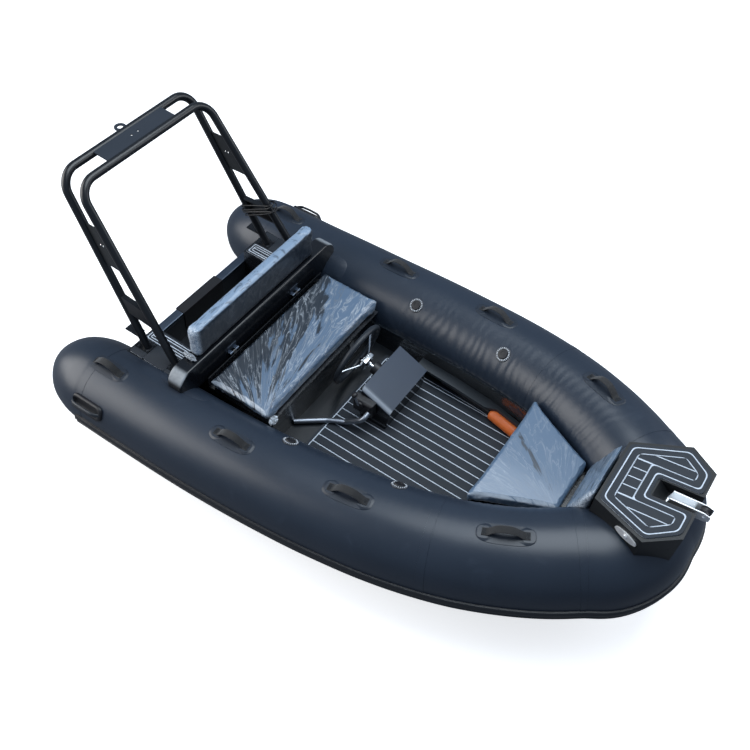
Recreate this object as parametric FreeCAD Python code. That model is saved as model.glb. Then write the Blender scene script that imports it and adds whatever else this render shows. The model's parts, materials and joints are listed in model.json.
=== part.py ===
"""Rigid inflatable boat: hull, tubes, helm, seats, bow deck and arch, one STEP file per node.

Millimetres. +X to the bow, +Y to port, +Z up. Z = 0 is the waterline, X = 0 amidships.
"""
import math
import os

import FreeCAD
import Part

V = FreeCAD.Vector
os.makedirs("parts", exist_ok=True)

# ---- driving dimensions --------------------------------------------------------------
TUBE_R = 216.0            # radius of the air tubes
SEAT_GAP = 0.3            # rubber to metal, glued seat
DECK_TOP = 125.0          # cockpit deck above the waterline
DECK_T = 6.0
PAD_T = 5.0               # foam deck covering
WALL_T = 14.0             # cockpit side wall
STERN_X = -1155.0         # forward face of the transom
TRANSOM_T = 45.0
TRANSOM_TOP = 296.0
ARCH_R = 20.0             # arch pipe radius
RUN_GAP = 0.5             # running fit, radial
HINGE_GAP = 0.6

# tube centre line: x, half breadth, height
TUBE_LINE = [
    (-1200.0, 652.0, 184.0), (-950.0, 652.0, 193.0), (-685.0, 652.0, 207.0),
    (-460.0, 648.0, 222.0), (-250.0, 640.0, 241.0), (11.0, 623.0, 268.0),
    (185.0, 605.0, 289.0), (359.0, 581.0, 311.0), (533.0, 546.0, 336.0),
    (707.0, 497.0, 363.0), (881.0, 426.0, 392.0), (1010.0, 358.0, 414.0),
    (1120.0, 286.0, 435.0),
]
BOW_LINE = [               # x, half breadth, height, heading from +X toward the centre line
    (1120.0, 286.0, 435.0, 39.0), (1208.0, 226.0, 448.0, 50.0),
    (1272.0, 108.0, 458.0, 79.0), (1275.0, 0.0, 459.0, 90.0),
]
STERN_CONE = 312.0         # length of the rounded stern end


def box(x0, x1, y0, y1, z0, z1):
    """Axis-aligned box between two corners."""
    return Part.makeBox(x1 - x0, y1 - y0, z1 - z0, V(x0, y0, z0))


def port_box(x0, x1, y0, y1, z0, z1):
    """Box and its mirror twin, as two solids."""
    one = box(x0, x1, y0, y1, z0, z1)
    return [one, mirrored(one)]


def mirrored(shape):
    """Twin on the other side of the centre plane."""
    return shape.mirror(V(0, 0, 0), V(0, 1, 0))


def face_of(points):
    """Flat face round a closed run of points."""
    return Part.Face(Part.makePolygon(list(points) + [points[0]]))


def slab_xz(outline, y0, y1):
    """Side outline of (x, z) pairs, thick from y0 to y1."""
    return face_of([V(x, y0, z) for x, z in outline]).extrude(V(0, y1 - y0, 0))


def slab_xy(outline, z0, z1):
    """Plan outline of (x, y) pairs, thick from z0 to z1."""
    return face_of([V(x, y, z0) for x, y in outline]).extrude(V(0, 0, z1 - z0))


def rod(start, end, radius):
    """Round bar between two points."""
    d = end.sub(start)
    return Part.makeCylinder(radius, d.Length, start, d)


def round_edges(shape, radius, pick):
    """Fillet the edges that pick() accepts."""
    edges = [e for e in shape.Edges if pick(e)]
    return shape.makeFillet(radius, edges)


def is_along(edge, axis):
    """True for a straight edge parallel to the axis."""
    if len(edge.Vertexes) != 2:
        return False
    d = edge.Vertexes[1].Point.sub(edge.Vertexes[0].Point)
    return d.Length > 1e-6 and abs(d.dot(axis)) / d.Length > 0.999


X_AXIS, Y_AXIS, Z_AXIS = V(1, 0, 0), V(0, 1, 0), V(0, 0, 1)


def bent_pipe(points, bend, radius, bore=0.0):
    """Round pipe along straight runs joined by tangent arcs of one bend radius."""
    edges = []
    at = points[0]
    for i in range(1, len(points) - 1):
        a = points[i - 1].sub(points[i]).normalize()
        b = points[i + 1].sub(points[i]).normalize()
        half = math.acos(max(-1.0, min(1.0, a.dot(b)))) / 2
        cut = bend / math.tan(half)
        p = points[i].add(V(a).multiply(cut))
        q = points[i].add(V(b).multiply(cut))
        mid_dir = a.add(b).normalize()
        mid = points[i].add(mid_dir.multiply(bend / math.sin(half) - bend))
        edges.append(Part.LineSegment(at, p).toShape())
        edges.append(Part.Arc(p, mid, q).toShape())
        at = q
    edges.append(Part.LineSegment(at, points[-1]).toShape())
    path = Part.Wire(edges)
    run = points[1].sub(points[0])
    ring = Part.Wire(Part.makeCircle(radius, points[0], run))
    solid = path.makePipeShell([ring], True, False)
    if bore > 0:
        inner = Part.Wire(Part.makeCircle(bore, points[0], run))
        solid = solid.cut(path.makePipeShell([inner], True, False))
    return solid


def headings(line):
    """Unit tangents along a row of points by central differences."""
    pts = [V(*p) for p in line]
    out = []
    for i in range(len(pts)):
        a = pts[max(i - 1, 0)]
        b = pts[min(i + 1, len(pts) - 1)]
        out.append(b.sub(a).normalize())
    return pts, out


def whole_line():
    """Points and tangents from the port stern round the bow to the starboard stern."""
    side, tang = headings(TUBE_LINE)
    bow = []
    for x, y, z, deg in BOW_LINE[1:]:
        a = math.radians(deg)
        bow.append((V(x, y, z), V(math.cos(a), -math.sin(a), 0.02).normalize()))
    port = list(zip(side, tang)) + bow
    back = [(V(p.x, -p.y, p.z), V(-t.x, t.y, -t.z)) for p, t in reversed(port[:-1])]
    return port + back


LINE = whole_line()
N_SIDE = len(TUBE_LINE)


def ring_at(point, tangent, radius):
    """Circle across the tube at one station, with its seam edge on the inner side."""
    side = Z_AXIS.cross(tangent).normalize()
    up = tangent.cross(side)
    a = point.add(V(side).multiply(radius))
    b = point.add(V(up).multiply(radius))
    c = point.sub(V(side).multiply(radius))
    return Part.Wire(Part.Circle(a, b, c).toShape())


def tube_run(first, last, radius):
    """Smooth tube between two stations of the whole line."""
    return Part.makeLoft([ring_at(p, t, radius) for p, t in LINE[first:last]], True, False)


def stern_end(radius):
    """Rounded stern cone of the port tube."""
    p, t = LINE[0]
    cone = STERN_CONE + radius - TUBE_R
    profile = [
        Part.Arc(V(0, 0, radius), V(-0.62 * cone, 0, 0.80 * radius),
                 V(-0.97 * cone, 0, 0.28 * radius)).toShape(),
        Part.LineSegment(V(-0.97 * cone, 0, 0.28 * radius), V(-cone, 0, 0)).toShape(),
        Part.LineSegment(V(-cone, 0, 0), V(0, 0, 0)).toShape(),
        Part.LineSegment(V(0, 0, 0), V(0, 0, radius)).toShape(),
    ]
    solid = Part.Face(Part.Wire(profile)).revolve(V(0, 0, 0), X_AXIS, 360)
    solid.rotate(V(0, 0, 0), Y_AXIS, -math.degrees(math.atan2(t.z, t.x)))
    solid.translate(p)
    return solid


def side_tube(radius):
    """Port air tube with its stern cone."""
    return stern_end(radius).fuse(tube_run(0, N_SIDE, radius)).removeSplitter()


tube_port = side_tube(TUBE_R)
tube_starboard = mirrored(tube_port)
tube_bow = tube_run(N_SIDE - 1, len(LINE) - N_SIDE + 1, TUBE_R)
CLEAR_PORT = side_tube(TUBE_R + SEAT_GAP)
CLEAR_STBD = mirrored(CLEAR_PORT)
CLEAR_BOW = tube_run(N_SIDE - 1, len(LINE) - N_SIDE + 1, TUBE_R + SEAT_GAP)


def off_tubes(shape):
    """Metal part relieved for all three tube chambers."""
    return shape.cut(CLEAR_PORT).cut(CLEAR_STBD).cut(CLEAR_BOW)


def largest(shape):
    """The biggest solid left after a cut."""
    return max(shape.Solids, key=lambda s: s.Volume)


def tube_at(x):
    """Half breadth and height of the tube centre line at a given x."""
    pts = TUBE_LINE + [p[:3] for p in BOW_LINE[1:]]
    for (xa, ya, za), (xb, yb, zb) in zip(pts, pts[1:]):
        if x <= xb:
            f = max(0.0, (x - xa) / (xb - xa))
            return ya + f * (yb - ya), za + f * (zb - za)
    return pts[-1][1], pts[-1][2]


def tube_inner(x, z):
    """Half breadth of the tube's inboard skin at a height above the deck."""
    y, mid = tube_at(x)
    return y - math.sqrt(TUBE_R ** 2 - (z - mid) ** 2)


def surface_point(x, degrees, lift=0.0):
    """Point on the port tube skin, degrees measured up from the outboard side."""
    y, z = tube_at(x)
    a = math.radians(degrees)
    pts, tang = headings(TUBE_LINE)
    near = min(range(len(pts)), key=lambda i: abs(pts[i].x - x))
    t = tang[near]
    side = Z_AXIS.cross(t).normalize()
    up = t.cross(side)
    out = V(side).multiply(math.cos(a)).add(V(up).multiply(math.sin(a)))
    return V(x, y, z).add(V(out).multiply(TUBE_R + lift)), out, t


# ---- hull ----------------------------------------------------------------------------
# x, keel z, chine's reach under the tube, chine z
HULL = [
    (-1155.0, -195.0, 64.0, -28.0), (-500.0, -195.0, 67.3, -22.0),
    (100.0, -190.0, 77.2, 6.0), (620.0, -158.0, 79.5, 68.0),
    (900.0, -96.0, 90.0, 118.0), (1110.0, 10.0, 83.5, 170.0),
    (1235.0, 150.0, 79.8, 228.0),
]
HULL_TOP = DECK_TOP - DECK_T


def hull_section(x, keel, reach, chine):
    """Closed V section with a flat keel and a short vertical side."""
    breadth = tube_at(x)[0] - TUBE_R + reach
    top = max(HULL_TOP, chine + 28.0)
    rail = breadth * 0.9
    half = [(12.0, keel), (breadth, chine), (breadth, chine + 14.0), (rail, top)]
    ring = [V(x, y, z) for y, z in half] + [V(x, -y, z) for y, z in reversed(half)]
    return Part.makePolygon(ring + [ring[0]])


hull_shell = off_tubes(Part.makeLoft([hull_section(*s) for s in HULL], True, True))
KEEL_W, KEEL_T = 9.0, 8.0
keel_strip = Part.makeLoft([
    Part.makePolygon([V(x, -KEEL_W, k - KEEL_T), V(x, KEEL_W, k - KEEL_T), V(x, KEEL_W, k + 4),
                      V(x, -KEEL_W, k + 4), V(x, -KEEL_W, k - KEEL_T)])
    for x, k, _, _ in HULL[:5]
], True, True)
hull = hull_shell.fuse(keel_strip).removeSplitter()


WALL_FLARE = 52.0          # how far the foot of the wall steps out under the tube forward


def flare(x):
    """Outward step of the wall's foot: nothing aft of the helm seat, full at the bow seat."""
    return WALL_FLARE * max(0.0, min(1.0, (x + 250.0) / 650.0))


def wall_ring(x):
    """Section of the port cockpit side wall, reaching into the tube before relief."""
    y, z = tube_at(x)
    inner = y - TUBE_R - WALL_T
    top = wall_top(x)
    foot_y = inner + flare(x)
    ring = [V(x, foot_y, DECK_TOP), V(x, foot_y + 60, DECK_TOP), V(x, inner + 60, top),
            V(x, inner, top)]
    return Part.makePolygon(ring + [ring[0]])


def wall_top(x):
    """Height of the cockpit wall's upper edge."""
    return tube_at(x)[1] + 24.0


WALL_AFT, WALL_FWD = STERN_X, 620.0
WALL_X = [WALL_AFT, -685.0, -250.0, 11.0, 185.0, 359.0, 533.0, WALL_FWD]
side_wall_port = Part.makeLoft([wall_ring(x) for x in WALL_X], True, True).cut(CLEAR_PORT)
side_wall_starboard = mirrored(side_wall_port)


def inside(x, margin=0.0):
    """Half breadth of the deck between the feet of the cockpit walls at a given x."""
    return tube_at(x)[0] - TUBE_R - WALL_T + flare(x) - margin


def deck_outline(x_aft, x_fwd, margin):
    """Plan outline between the cockpit walls."""
    xs = [x_aft] + [x for x in WALL_X if x_aft < x < x_fwd] + [x_fwd]
    port = [(x, inside(x, margin)) for x in xs]
    return port + [(x, -y) for x, y in reversed(port)]


DECK_FWD = 612.0
deck_floor = slab_xy(deck_outline(STERN_X, DECK_FWD, SEAT_GAP), HULL_TOP, DECK_TOP)

# ---- transom and stern boxes ---------------------------------------------------------
BACK_FWD, BACK_AFT = -742.0, -828.0            # backrest bulkhead
BOX_GAP = 4.0
TRANSOM_HALF = inside(STERN_X, -8.0)
transom = slab_xz([(STERN_X - TRANSOM_T, -60.0), (STERN_X, -60.0), (STERN_X, TRANSOM_TOP),
                   (STERN_X - TRANSOM_T, TRANSOM_TOP)], -TRANSOM_HALF, TRANSOM_HALF)
transom = off_tubes(transom)
WEAR_HALF, WEAR_DROP, WEAR_T = 147.0, 120.0, 6.0
wear_cap = box(STERN_X - TRANSOM_T - WEAR_T, STERN_X + WEAR_T, -WEAR_HALF, WEAR_HALF,
               TRANSOM_TOP - WEAR_DROP, TRANSOM_TOP + WEAR_T)
transom_wear_plate = wear_cap.cut(box(STERN_X - TRANSOM_T, STERN_X, -WEAR_HALF, WEAR_HALF,
                                      TRANSOM_TOP - WEAR_DROP - 1, TRANSOM_TOP))

BOX_IN, BOX_TOP, BOX_T = 335.0, 365.0, 4.0     # stern boxes carrying the arch
BOX_AFT, BOX_FWD = STERN_X, BACK_AFT - BOX_GAP
BOX_OUT = 560.0


def stern_box():
    """Port stern box, a folded shell open to the deck side."""
    outer = box(BOX_AFT, BOX_FWD, BOX_IN, BOX_OUT, DECK_TOP, BOX_TOP)
    inner = box(BOX_AFT + BOX_T, BOX_FWD - BOX_T, BOX_IN + BOX_T, BOX_OUT, DECK_TOP,
                BOX_TOP - BOX_T)
    return outer.cut(inner).cut(CLEAR_PORT).cut(side_wall_port)


stern_box_port = stern_box()
stern_box_port = largest(stern_box_port)
stern_box_starboard = mirrored(stern_box_port)
PAD_MARGIN, PAD_OUT = 8.0, 524.0
stern_pad = box(BOX_AFT + PAD_MARGIN, BOX_FWD - PAD_MARGIN, BOX_IN + PAD_MARGIN, PAD_OUT,
                BOX_TOP, BOX_TOP + PAD_T)
stern_pad = off_tubes(stern_pad)

# ---- arch ----------------------------------------------------------------------------
# foot x, foot y, top x, top y, top z
ARCH_REAR = (-1093.0, 455.0, -1486.0, 402.0, 1176.0)
ARCH_FRONT = (-884.0, 468.0, -1376.0, 402.0, 1169.0)
ARCH_BEND = 95.0
FOOT_Z = BOX_TOP + 6.0
FOOT_GAP = 1.0


def hoop(foot_x, foot_y, top_x, top_y, top_z):
    """One bent arch pipe from foot to foot."""
    f = -40.0 / (top_z - FOOT_Z)
    low = (foot_x + f * (top_x - foot_x), foot_y + f * (top_y - foot_y), FOOT_Z - 40.0)
    pts = [V(*low), V(top_x, top_y, top_z), V(top_x, -top_y, top_z), V(low[0], -low[1], low[2])]
    ground = box(foot_x - 200, foot_x + 200, -foot_y - 200, foot_y + 200, FOOT_Z - 200, FOOT_Z)
    return bent_pipe(pts, ARCH_BEND, ARCH_R).cut(ground)


arch_rear_pipe = hoop(*ARCH_REAR)
arch_front_pipe = hoop(*ARCH_FRONT)
ARCH_PIPES = arch_rear_pipe.fuse(arch_front_pipe)


def leg_point(spec, height):
    """Centre of the port leg of one hoop at a height."""
    fx, fy, tx, ty, tz = spec
    f = (height - FOOT_Z) / (tz - FOOT_Z)
    return V(fx + f * (tx - fx), fy + f * (ty - fy), height)


def leg_plate(low, high, thick, shift):
    """Flat plate between the two port legs from one height to another."""
    a, b = leg_point(ARCH_REAR, low), leg_point(ARCH_FRONT, low)
    c, d = leg_point(ARCH_FRONT, high), leg_point(ARCH_REAR, high)
    n = b.sub(a).cross(d.sub(a)).normalize()
    c = c.sub(V(n).multiply(c.sub(a).dot(n)))
    start = [p.add(V(n).multiply(shift - thick / 2)) for p in (a, b, c, d)]
    return face_of(start).extrude(V(n).multiply(thick))


side_plate = leg_plate(800.0, 985.0, 5.0, 0.0).cut(ARCH_PIPES)
side_plate = largest(side_plate)
cross_bar = leg_plate(560.0, 640.0, 26.0, 0.0).cut(leg_plate(568.0, 632.0, 27.0, 8.0))
cross_bar = cross_bar.cut(ARCH_PIPES)
cross_bar = largest(cross_bar)
tongue_root = leg_point(ARCH_REAR, 440.0)
tongue = box(tongue_root.x - 78, tongue_root.x + 4, tongue_root.y - 24, tongue_root.y + 24,
             tongue_root.z - 3, tongue_root.z + 3).cut(ARCH_PIPES)
tongue = largest(tongue)

TOP_PLATE_HALF = 212.0
TOP_HOLE_R, TOP_HOLE_PITCH = 5.5, 40.0
top_plate = slab_xz([(ARCH_REAR[2] - 8, ARCH_REAR[4] + 10), (ARCH_FRONT[2] + 8, ARCH_FRONT[4] + 10),
                     (ARCH_FRONT[2] + 8, ARCH_FRONT[4] + 16),
                     (ARCH_REAR[2] - 8, ARCH_REAR[4] + 16)], -TOP_PLATE_HALF, TOP_PLATE_HALF)
TOP_MID_X = (ARCH_REAR[2] + ARCH_FRONT[2]) / 2
for hole_y in (-TOP_HOLE_PITCH / 2, TOP_HOLE_PITCH / 2):
    top_plate = top_plate.cut(Part.makeCylinder(TOP_HOLE_R, 80, V(TOP_MID_X, hole_y, 1160), Z_AXIS))
top_plate = top_plate.cut(ARCH_PIPES)
top_plate = largest(top_plate)
LUG_R, LUG_HOLE_R, LUG_T, LUG_WALL = 28.0, 14.0, 6.0, 4.0
LUG_X = ARCH_REAR[2] - ARCH_R - LUG_WALL - LUG_HOLE_R
lug_base = V(LUG_X, 0, ARCH_REAR[4] - LUG_T / 2)
lug = Part.makeCylinder(LUG_R, LUG_T, lug_base, Z_AXIS)
lug = lug.cut(Part.makeCylinder(LUG_HOLE_R, LUG_T, lug_base, Z_AXIS))
lug = lug.cut(ARCH_PIPES)


def foot(spec, grow=0.0):
    """Foot flange under one port leg."""
    fx, fy = spec[0], spec[1]
    return box(fx - 42 - grow, fx + 30 + grow, fy - 30 - grow, fy + 30 + grow, BOX_TOP, FOOT_Z)


for spec in (ARCH_REAR, ARCH_FRONT):
    stern_pad = stern_pad.cut(foot(spec, FOOT_GAP))
arch_rear_pipe = arch_rear_pipe.fuse([foot(ARCH_REAR), mirrored(foot(ARCH_REAR))])
arch_front_pipe = arch_front_pipe.fuse([foot(ARCH_FRONT), mirrored(foot(ARCH_FRONT))])
arch_rear_pipe = arch_rear_pipe.removeSplitter()
arch_front_pipe = arch_front_pipe.removeSplitter()

COIL_AT, COIL_LONG, COIL_T, COIL_PLAY = 545.0, 66.0, 12.0, 0.3


def racetrack(a, b, radius, along, length):
    """Slab round two points: two round ends joined by straight sides."""
    run = b.sub(a)
    across = along.cross(run).normalize()
    corners = [a.add(V(across).multiply(radius)), b.add(V(across).multiply(radius)),
               b.sub(V(across).multiply(radius)), a.sub(V(across).multiply(radius))]
    slab = face_of(corners).extrude(V(along).multiply(length))
    ends = [Part.makeCylinder(radius, length, p, along) for p in (a, b)]
    return slab.fuse(ends).removeSplitter()


leg_dir = leg_point(ARCH_REAR, COIL_AT + 100.0).sub(leg_point(ARCH_REAR, COIL_AT)).normalize()
coil_a = leg_point(ARCH_REAR, COIL_AT)
coil_b = leg_point(ARCH_FRONT, COIL_AT)
coil_b = coil_b.sub(V(leg_dir).multiply(coil_b.sub(coil_a).dot(leg_dir)))
coil_in = ARCH_R + COIL_PLAY
arch_cable_coil = racetrack(coil_a, coil_b, coil_in + COIL_T, leg_dir, COIL_LONG)
arch_cable_coil = arch_cable_coil.cut(racetrack(coil_a, coil_b, coil_in, leg_dir, COIL_LONG))
arch_cable_coil = largest(arch_cable_coil.cut(arch_front_pipe).cut(arch_rear_pipe))

# ---- backrest and helm seat ----------------------------------------------------------
BACK_HALF_LOW, BACK_HALF = 418.0, 592.0
BACK_LOW_TOP, BACK_TOP = 352.0, 500.0
BACK_SHOULDER, BACK_EDGE, BACK_T = 80.0, 10.0, 4.0


def bulkhead_block(t):
    """Backrest bulkhead with round shoulders down to the tubes, inset by t."""
    block = box(BACK_AFT + t, BACK_FWD - t, -BACK_HALF + t, BACK_HALF - t, DECK_TOP, BACK_TOP - t)
    block = round_edges(block, BACK_SHOULDER - t, lambda e: is_along(e, X_AXIS)
                        and e.BoundBox.ZMin > BACK_TOP - t - 1)
    for flank in port_box(BACK_AFT, BACK_FWD, BACK_HALF_LOW - t, BACK_HALF, 0, BACK_LOW_TOP + t):
        block = block.cut(flank)
    return block


backrest_box = bulkhead_block(0.0)
backrest_box = round_edges(backrest_box, BACK_EDGE, lambda e: is_along(e, Y_AXIS)
                           and e.BoundBox.ZMin > BACK_TOP - 1)
backrest_box = off_tubes(backrest_box.cut(bulkhead_block(BACK_T)))
for wall in (side_wall_port, side_wall_starboard):
    backrest_box = backrest_box.cut(wall)
backrest_box = largest(backrest_box)
BACK_CUSHION = (BACK_FWD - 82.0, BACK_FWD - 10.0, 457.0, BACK_TOP, 676.0)
bx0, bx1, bhw, bz0, bz1 = BACK_CUSHION
backrest_cushion = box(bx0, bx1, -bhw, bhw, bz0, bz1)
backrest_cushion = round_edges(backrest_cushion, 18.0, lambda e: e.BoundBox.ZMin > bz0 + 1)

SEAT_AFT, SEAT_FWD, SEAT_FLARE = -714.0, -350.0, 46.0
SEATBOX_TOP = 318.0
LID_T, CUSHION_T = 6.0, 70.0
SEATBOX_HALF = inside(SEAT_AFT, 6.0)
SEATBOX_T = 4.0
seat_box = box(SEAT_AFT, SEAT_FWD - 8, -SEATBOX_HALF, SEATBOX_HALF, DECK_TOP, SEATBOX_TOP)
seat_box = seat_box.cut(box(SEAT_AFT + SEATBOX_T, SEAT_FWD - 8 - SEATBOX_T,
                            -SEATBOX_HALF + SEATBOX_T, SEATBOX_HALF - SEATBOX_T,
                            DECK_TOP, SEATBOX_TOP + 1))
seat_box = largest(seat_box.cut(side_wall_port).cut(side_wall_starboard))
HINGE_X, HINGE_Z, HINGE_R, HINGE_PIN = -728.0, 396.0, 6.0, 3.0
HINGE_Y, HINGE_W = 241.0, 60.0
LID_Z = SEATBOX_TOP + HINGE_GAP
SEAT_CLEAR = 6.0
SEAT_HALF = tube_inner(SEAT_FWD, LID_Z) - SEAT_CLEAR
lid_flange_x = SEAT_AFT - 6.0
seat_lid = box(lid_flange_x, SEAT_FWD, -SEAT_HALF, SEAT_HALF, LID_Z, LID_Z + LID_T)
seat_lid = seat_lid.fuse(box(lid_flange_x, lid_flange_x + 4, -SEAT_HALF, SEAT_HALF,
                             LID_Z, HINGE_Z - HINGE_R - 2)).removeSplitter()
cushion_low, cushion_top = LID_Z + LID_T, LID_Z + LID_T + CUSHION_T
cushion_end = [V(SEAT_AFT, -SEAT_HALF, cushion_low), V(SEAT_AFT, SEAT_HALF, cushion_low),
               V(SEAT_AFT, SEAT_HALF + SEAT_FLARE, cushion_top),
               V(SEAT_AFT, -SEAT_HALF - SEAT_FLARE, cushion_top)]
seat_cushion = face_of(cushion_end).extrude(V(SEAT_FWD - SEAT_AFT, 0, 0))
seat_cushion = round_edges(seat_cushion, 16.0, lambda e: e.BoundBox.ZMin > LID_Z + LID_T + 1)


def hinge_parts(y):
    """Fixed leaf with pin, and the turning leaf, at one hinge."""
    w = HINGE_W / 2
    third = HINGE_W / 3
    fixed = rod(V(HINGE_X, y - w, HINGE_Z), V(HINGE_X, y + w, HINGE_Z), HINGE_R)
    middle = rod(V(HINGE_X, y - third / 2, HINGE_Z), V(HINGE_X, y + third / 2, HINGE_Z), HINGE_R)
    keep = rod(V(HINGE_X, y - third / 2 - 0.5, HINGE_Z), V(HINGE_X, y + third / 2 + 0.5, HINGE_Z),
               HINGE_R + 1)
    fixed = fixed.cut(keep)
    fixed = fixed.fuse(box(BACK_FWD, BACK_FWD + 3, y - w, y + w, HINGE_Z - 2, HINGE_Z + 34))
    fixed = fixed.fuse(box(BACK_FWD + 1, HINGE_X, y - w, y - third / 2 - 0.5, HINGE_Z - 3,
                           HINGE_Z + 3))
    fixed = fixed.fuse(box(BACK_FWD + 1, HINGE_X, y + third / 2 + 0.5, y + w, HINGE_Z - 3,
                           HINGE_Z + 3))
    pin = rod(V(HINGE_X, y - w, HINGE_Z), V(HINGE_X, y + w, HINGE_Z), HINGE_PIN)
    fixed = fixed.fuse(pin)
    turning = middle.fuse(box(HINGE_X, lid_flange_x, y - third / 2, y + third / 2,
                              HINGE_Z - 3, HINGE_Z + 1))
    turning = turning.fuse(box(lid_flange_x - 3, lid_flange_x, y - third / 2, y + third / 2,
                               HINGE_Z - 40, HINGE_Z + 1))
    turning = turning.cut(rod(V(HINGE_X, y - w, HINGE_Z), V(HINGE_X, y + w, HINGE_Z),
                              HINGE_PIN + RUN_GAP))
    return fixed.removeSplitter(), turning.removeSplitter()


hinge_fixed, hinge_turning = [], []
for hinge_y in (-HINGE_Y, HINGE_Y):
    leaf_fixed, leaf_turning = hinge_parts(hinge_y)
    hinge_fixed.append(leaf_fixed)
    hinge_turning.append(leaf_turning)

seat_lid = seat_lid.fuse(hinge_turning).removeSplitter()

LATCH_Y, LATCH_Z = 204.0, SEATBOX_TOP - 24.0
seat_latch = box(SEAT_FWD - 8, SEAT_FWD + 2, LATCH_Y - 16, LATCH_Y + 16,
                 LATCH_Z - 22, LATCH_Z + 12)

# ---- console, helm and wheel ---------------------------------------------------------
CON_Y = 134.0              # console and wheel stand to port of the centre line
CON_HALF, CON_T = 165.0, 4.0
CON_AFT, CON_FWD, CON_FOOT = -124.0, 44.0, 24.0
CON_TOP_AFT, CON_TOP_FWD = 348.0, 276.0
CON_FLOOR = DECK_TOP + PAD_T


def console_side(t):
    """Side outline of the console shell, inset by t; the hood falls toward the bow."""
    return [(CON_AFT + t, CON_FLOOR), (CON_FOOT - t, CON_FLOOR),
            (CON_FWD - t, CON_TOP_FWD - 1.4 * t), (CON_AFT + t, CON_TOP_AFT - 1.4 * t)]


console = slab_xz(console_side(0.0), CON_Y - CON_HALF, CON_Y + CON_HALF)
console = round_edges(console, 30.0, lambda e: e.BoundBox.ZMin > CON_TOP_FWD - 1
                      and e.BoundBox.XLength > 100 and e.BoundBox.YMax < CON_Y)
bore = slab_xz(console_side(CON_T), CON_Y - CON_HALF + CON_T, CON_Y + CON_HALF - CON_T)
bore = round_edges(bore, 26.0, lambda e: e.BoundBox.ZMin > CON_TOP_FWD - 8
                   and e.BoundBox.XLength > 100 and e.BoundBox.YMax < CON_Y)
console = console.cut(bore)

HELM_TILT = 13.0           # wheel shaft rises this much going aft
HELM_Z = 303.0
SHAFT_R, COLLAR_R = 9.5, 33.0
helm_dir = V(-math.cos(math.radians(HELM_TILT)), 0, math.sin(math.radians(HELM_TILT)))
HELM_AT = V(CON_AFT, CON_Y, HELM_Z)


def along_helm(distance):
    """Point on the wheel shaft axis, measured aft from the console face."""
    return HELM_AT.add(V(helm_dir).multiply(distance))


COLLAR_L, WHEEL_AT, WHEEL_R, RIM_R = 44.0, 148.0, 163.0, 14.5
helm_collar = rod(along_helm(-12), along_helm(COLLAR_L), COLLAR_R)
helm_collar = helm_collar.cut(box(CON_AFT, CON_AFT + 80, CON_Y - 60, CON_Y + 60,
                                  HELM_Z - 80, HELM_Z + 60))
shaft_hole = rod(along_helm(-30), along_helm(COLLAR_L + 5), SHAFT_R + RUN_GAP)
helm_collar = helm_collar.cut(shaft_hole)
console = console.cut(shaft_hole)
wheel_rim = Part.makeTorus(WHEEL_R, RIM_R, along_helm(WHEEL_AT), helm_dir)
HUB_AT = WHEEL_AT - 56.0
hub = rod(along_helm(HUB_AT - 16), along_helm(HUB_AT + 18), 30.0)
hub = hub.fuse(rod(along_helm(-10), along_helm(HUB_AT), SHAFT_R))
SPOKE_W, SPOKE_T = 22.0, 5.0
wheel_up = V(math.sin(math.radians(HELM_TILT)), 0, math.cos(math.radians(HELM_TILT)))
for turn in (60.0, 180.0, 300.0):
    a = math.radians(turn)
    out = V(Y_AXIS).multiply(math.cos(a)).add(V(wheel_up).multiply(math.sin(a)))
    wide = helm_dir.cross(out).normalize()
    root = along_helm(HUB_AT).add(V(out).multiply(16))
    tip = along_helm(WHEEL_AT - 4).add(V(out).multiply(WHEEL_R - 4))
    run = tip.sub(root)
    thick = run.cross(wide).normalize()
    corner = [root.add(V(wide).multiply(s * SPOKE_W / 2)).add(V(thick).multiply(t * SPOKE_T / 2))
              for s, t in ((-1, -1), (1, -1), (1, 1), (-1, 1))]
    hub = hub.fuse(face_of(corner).extrude(run))
wheel_spokes = hub.cut(wheel_rim).removeSplitter()
wheel_spokes = largest(wheel_spokes)

CONTROL_X0, CONTROL_X1, CONTROL_Z0, CONTROL_Z1 = -150.0, -36.0, 212.0, 302.0
CONTROL_OUT, CONTROL_ROUND = 42.0, 18.0
CON_STBD = CON_Y - CON_HALF
control_box = box(CONTROL_X0, CONTROL_X1, CON_STBD - CONTROL_OUT, CON_STBD, CONTROL_Z0,
                  CONTROL_Z1)
control_box = round_edges(control_box, CONTROL_ROUND,
                          lambda e: e.BoundBox.YMax < CON_STBD - CONTROL_OUT / 2)

CONDUIT_R = 13.0
conduit_points = [
    V(-52.0, CON_STBD - CONTROL_OUT, 250.0), V(-56.0, CON_STBD - CONTROL_OUT - 40.0, 236.0),
    V(-146.0, -122.0, CON_FLOOR + CONDUIT_R + 12.0), V(-234.0, -162.0, CON_FLOOR + CONDUIT_R),
    V(SEAT_FWD - 8.0, -262.0, CON_FLOOR + CONDUIT_R),
]
control_conduit = bent_pipe(conduit_points, 30.0, CONDUIT_R)
control_conduit = largest(control_conduit.cut(seat_box).cut(control_box))

# ---- deck covering, shelves and paddle -----------------------------------------------
PAD_AFT, PAD_FWD = -239.0, 604.0
deck_pad = slab_xy(deck_outline(PAD_AFT, PAD_FWD, 40.0), DECK_TOP, DECK_TOP + PAD_T)

SHELF_TOP, SHELF_T, SHELF_LIP = DECK_TOP + 90.0, 4.0, 16.0
# station x, shelf width; narrowed ahead for the paddle
SHELF_STATIONS = [(-40.0, 58.0), (185.0, 58.0), (372.0, 56.0), (432.0, 24.0), (600.0, 20.0)]


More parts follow.
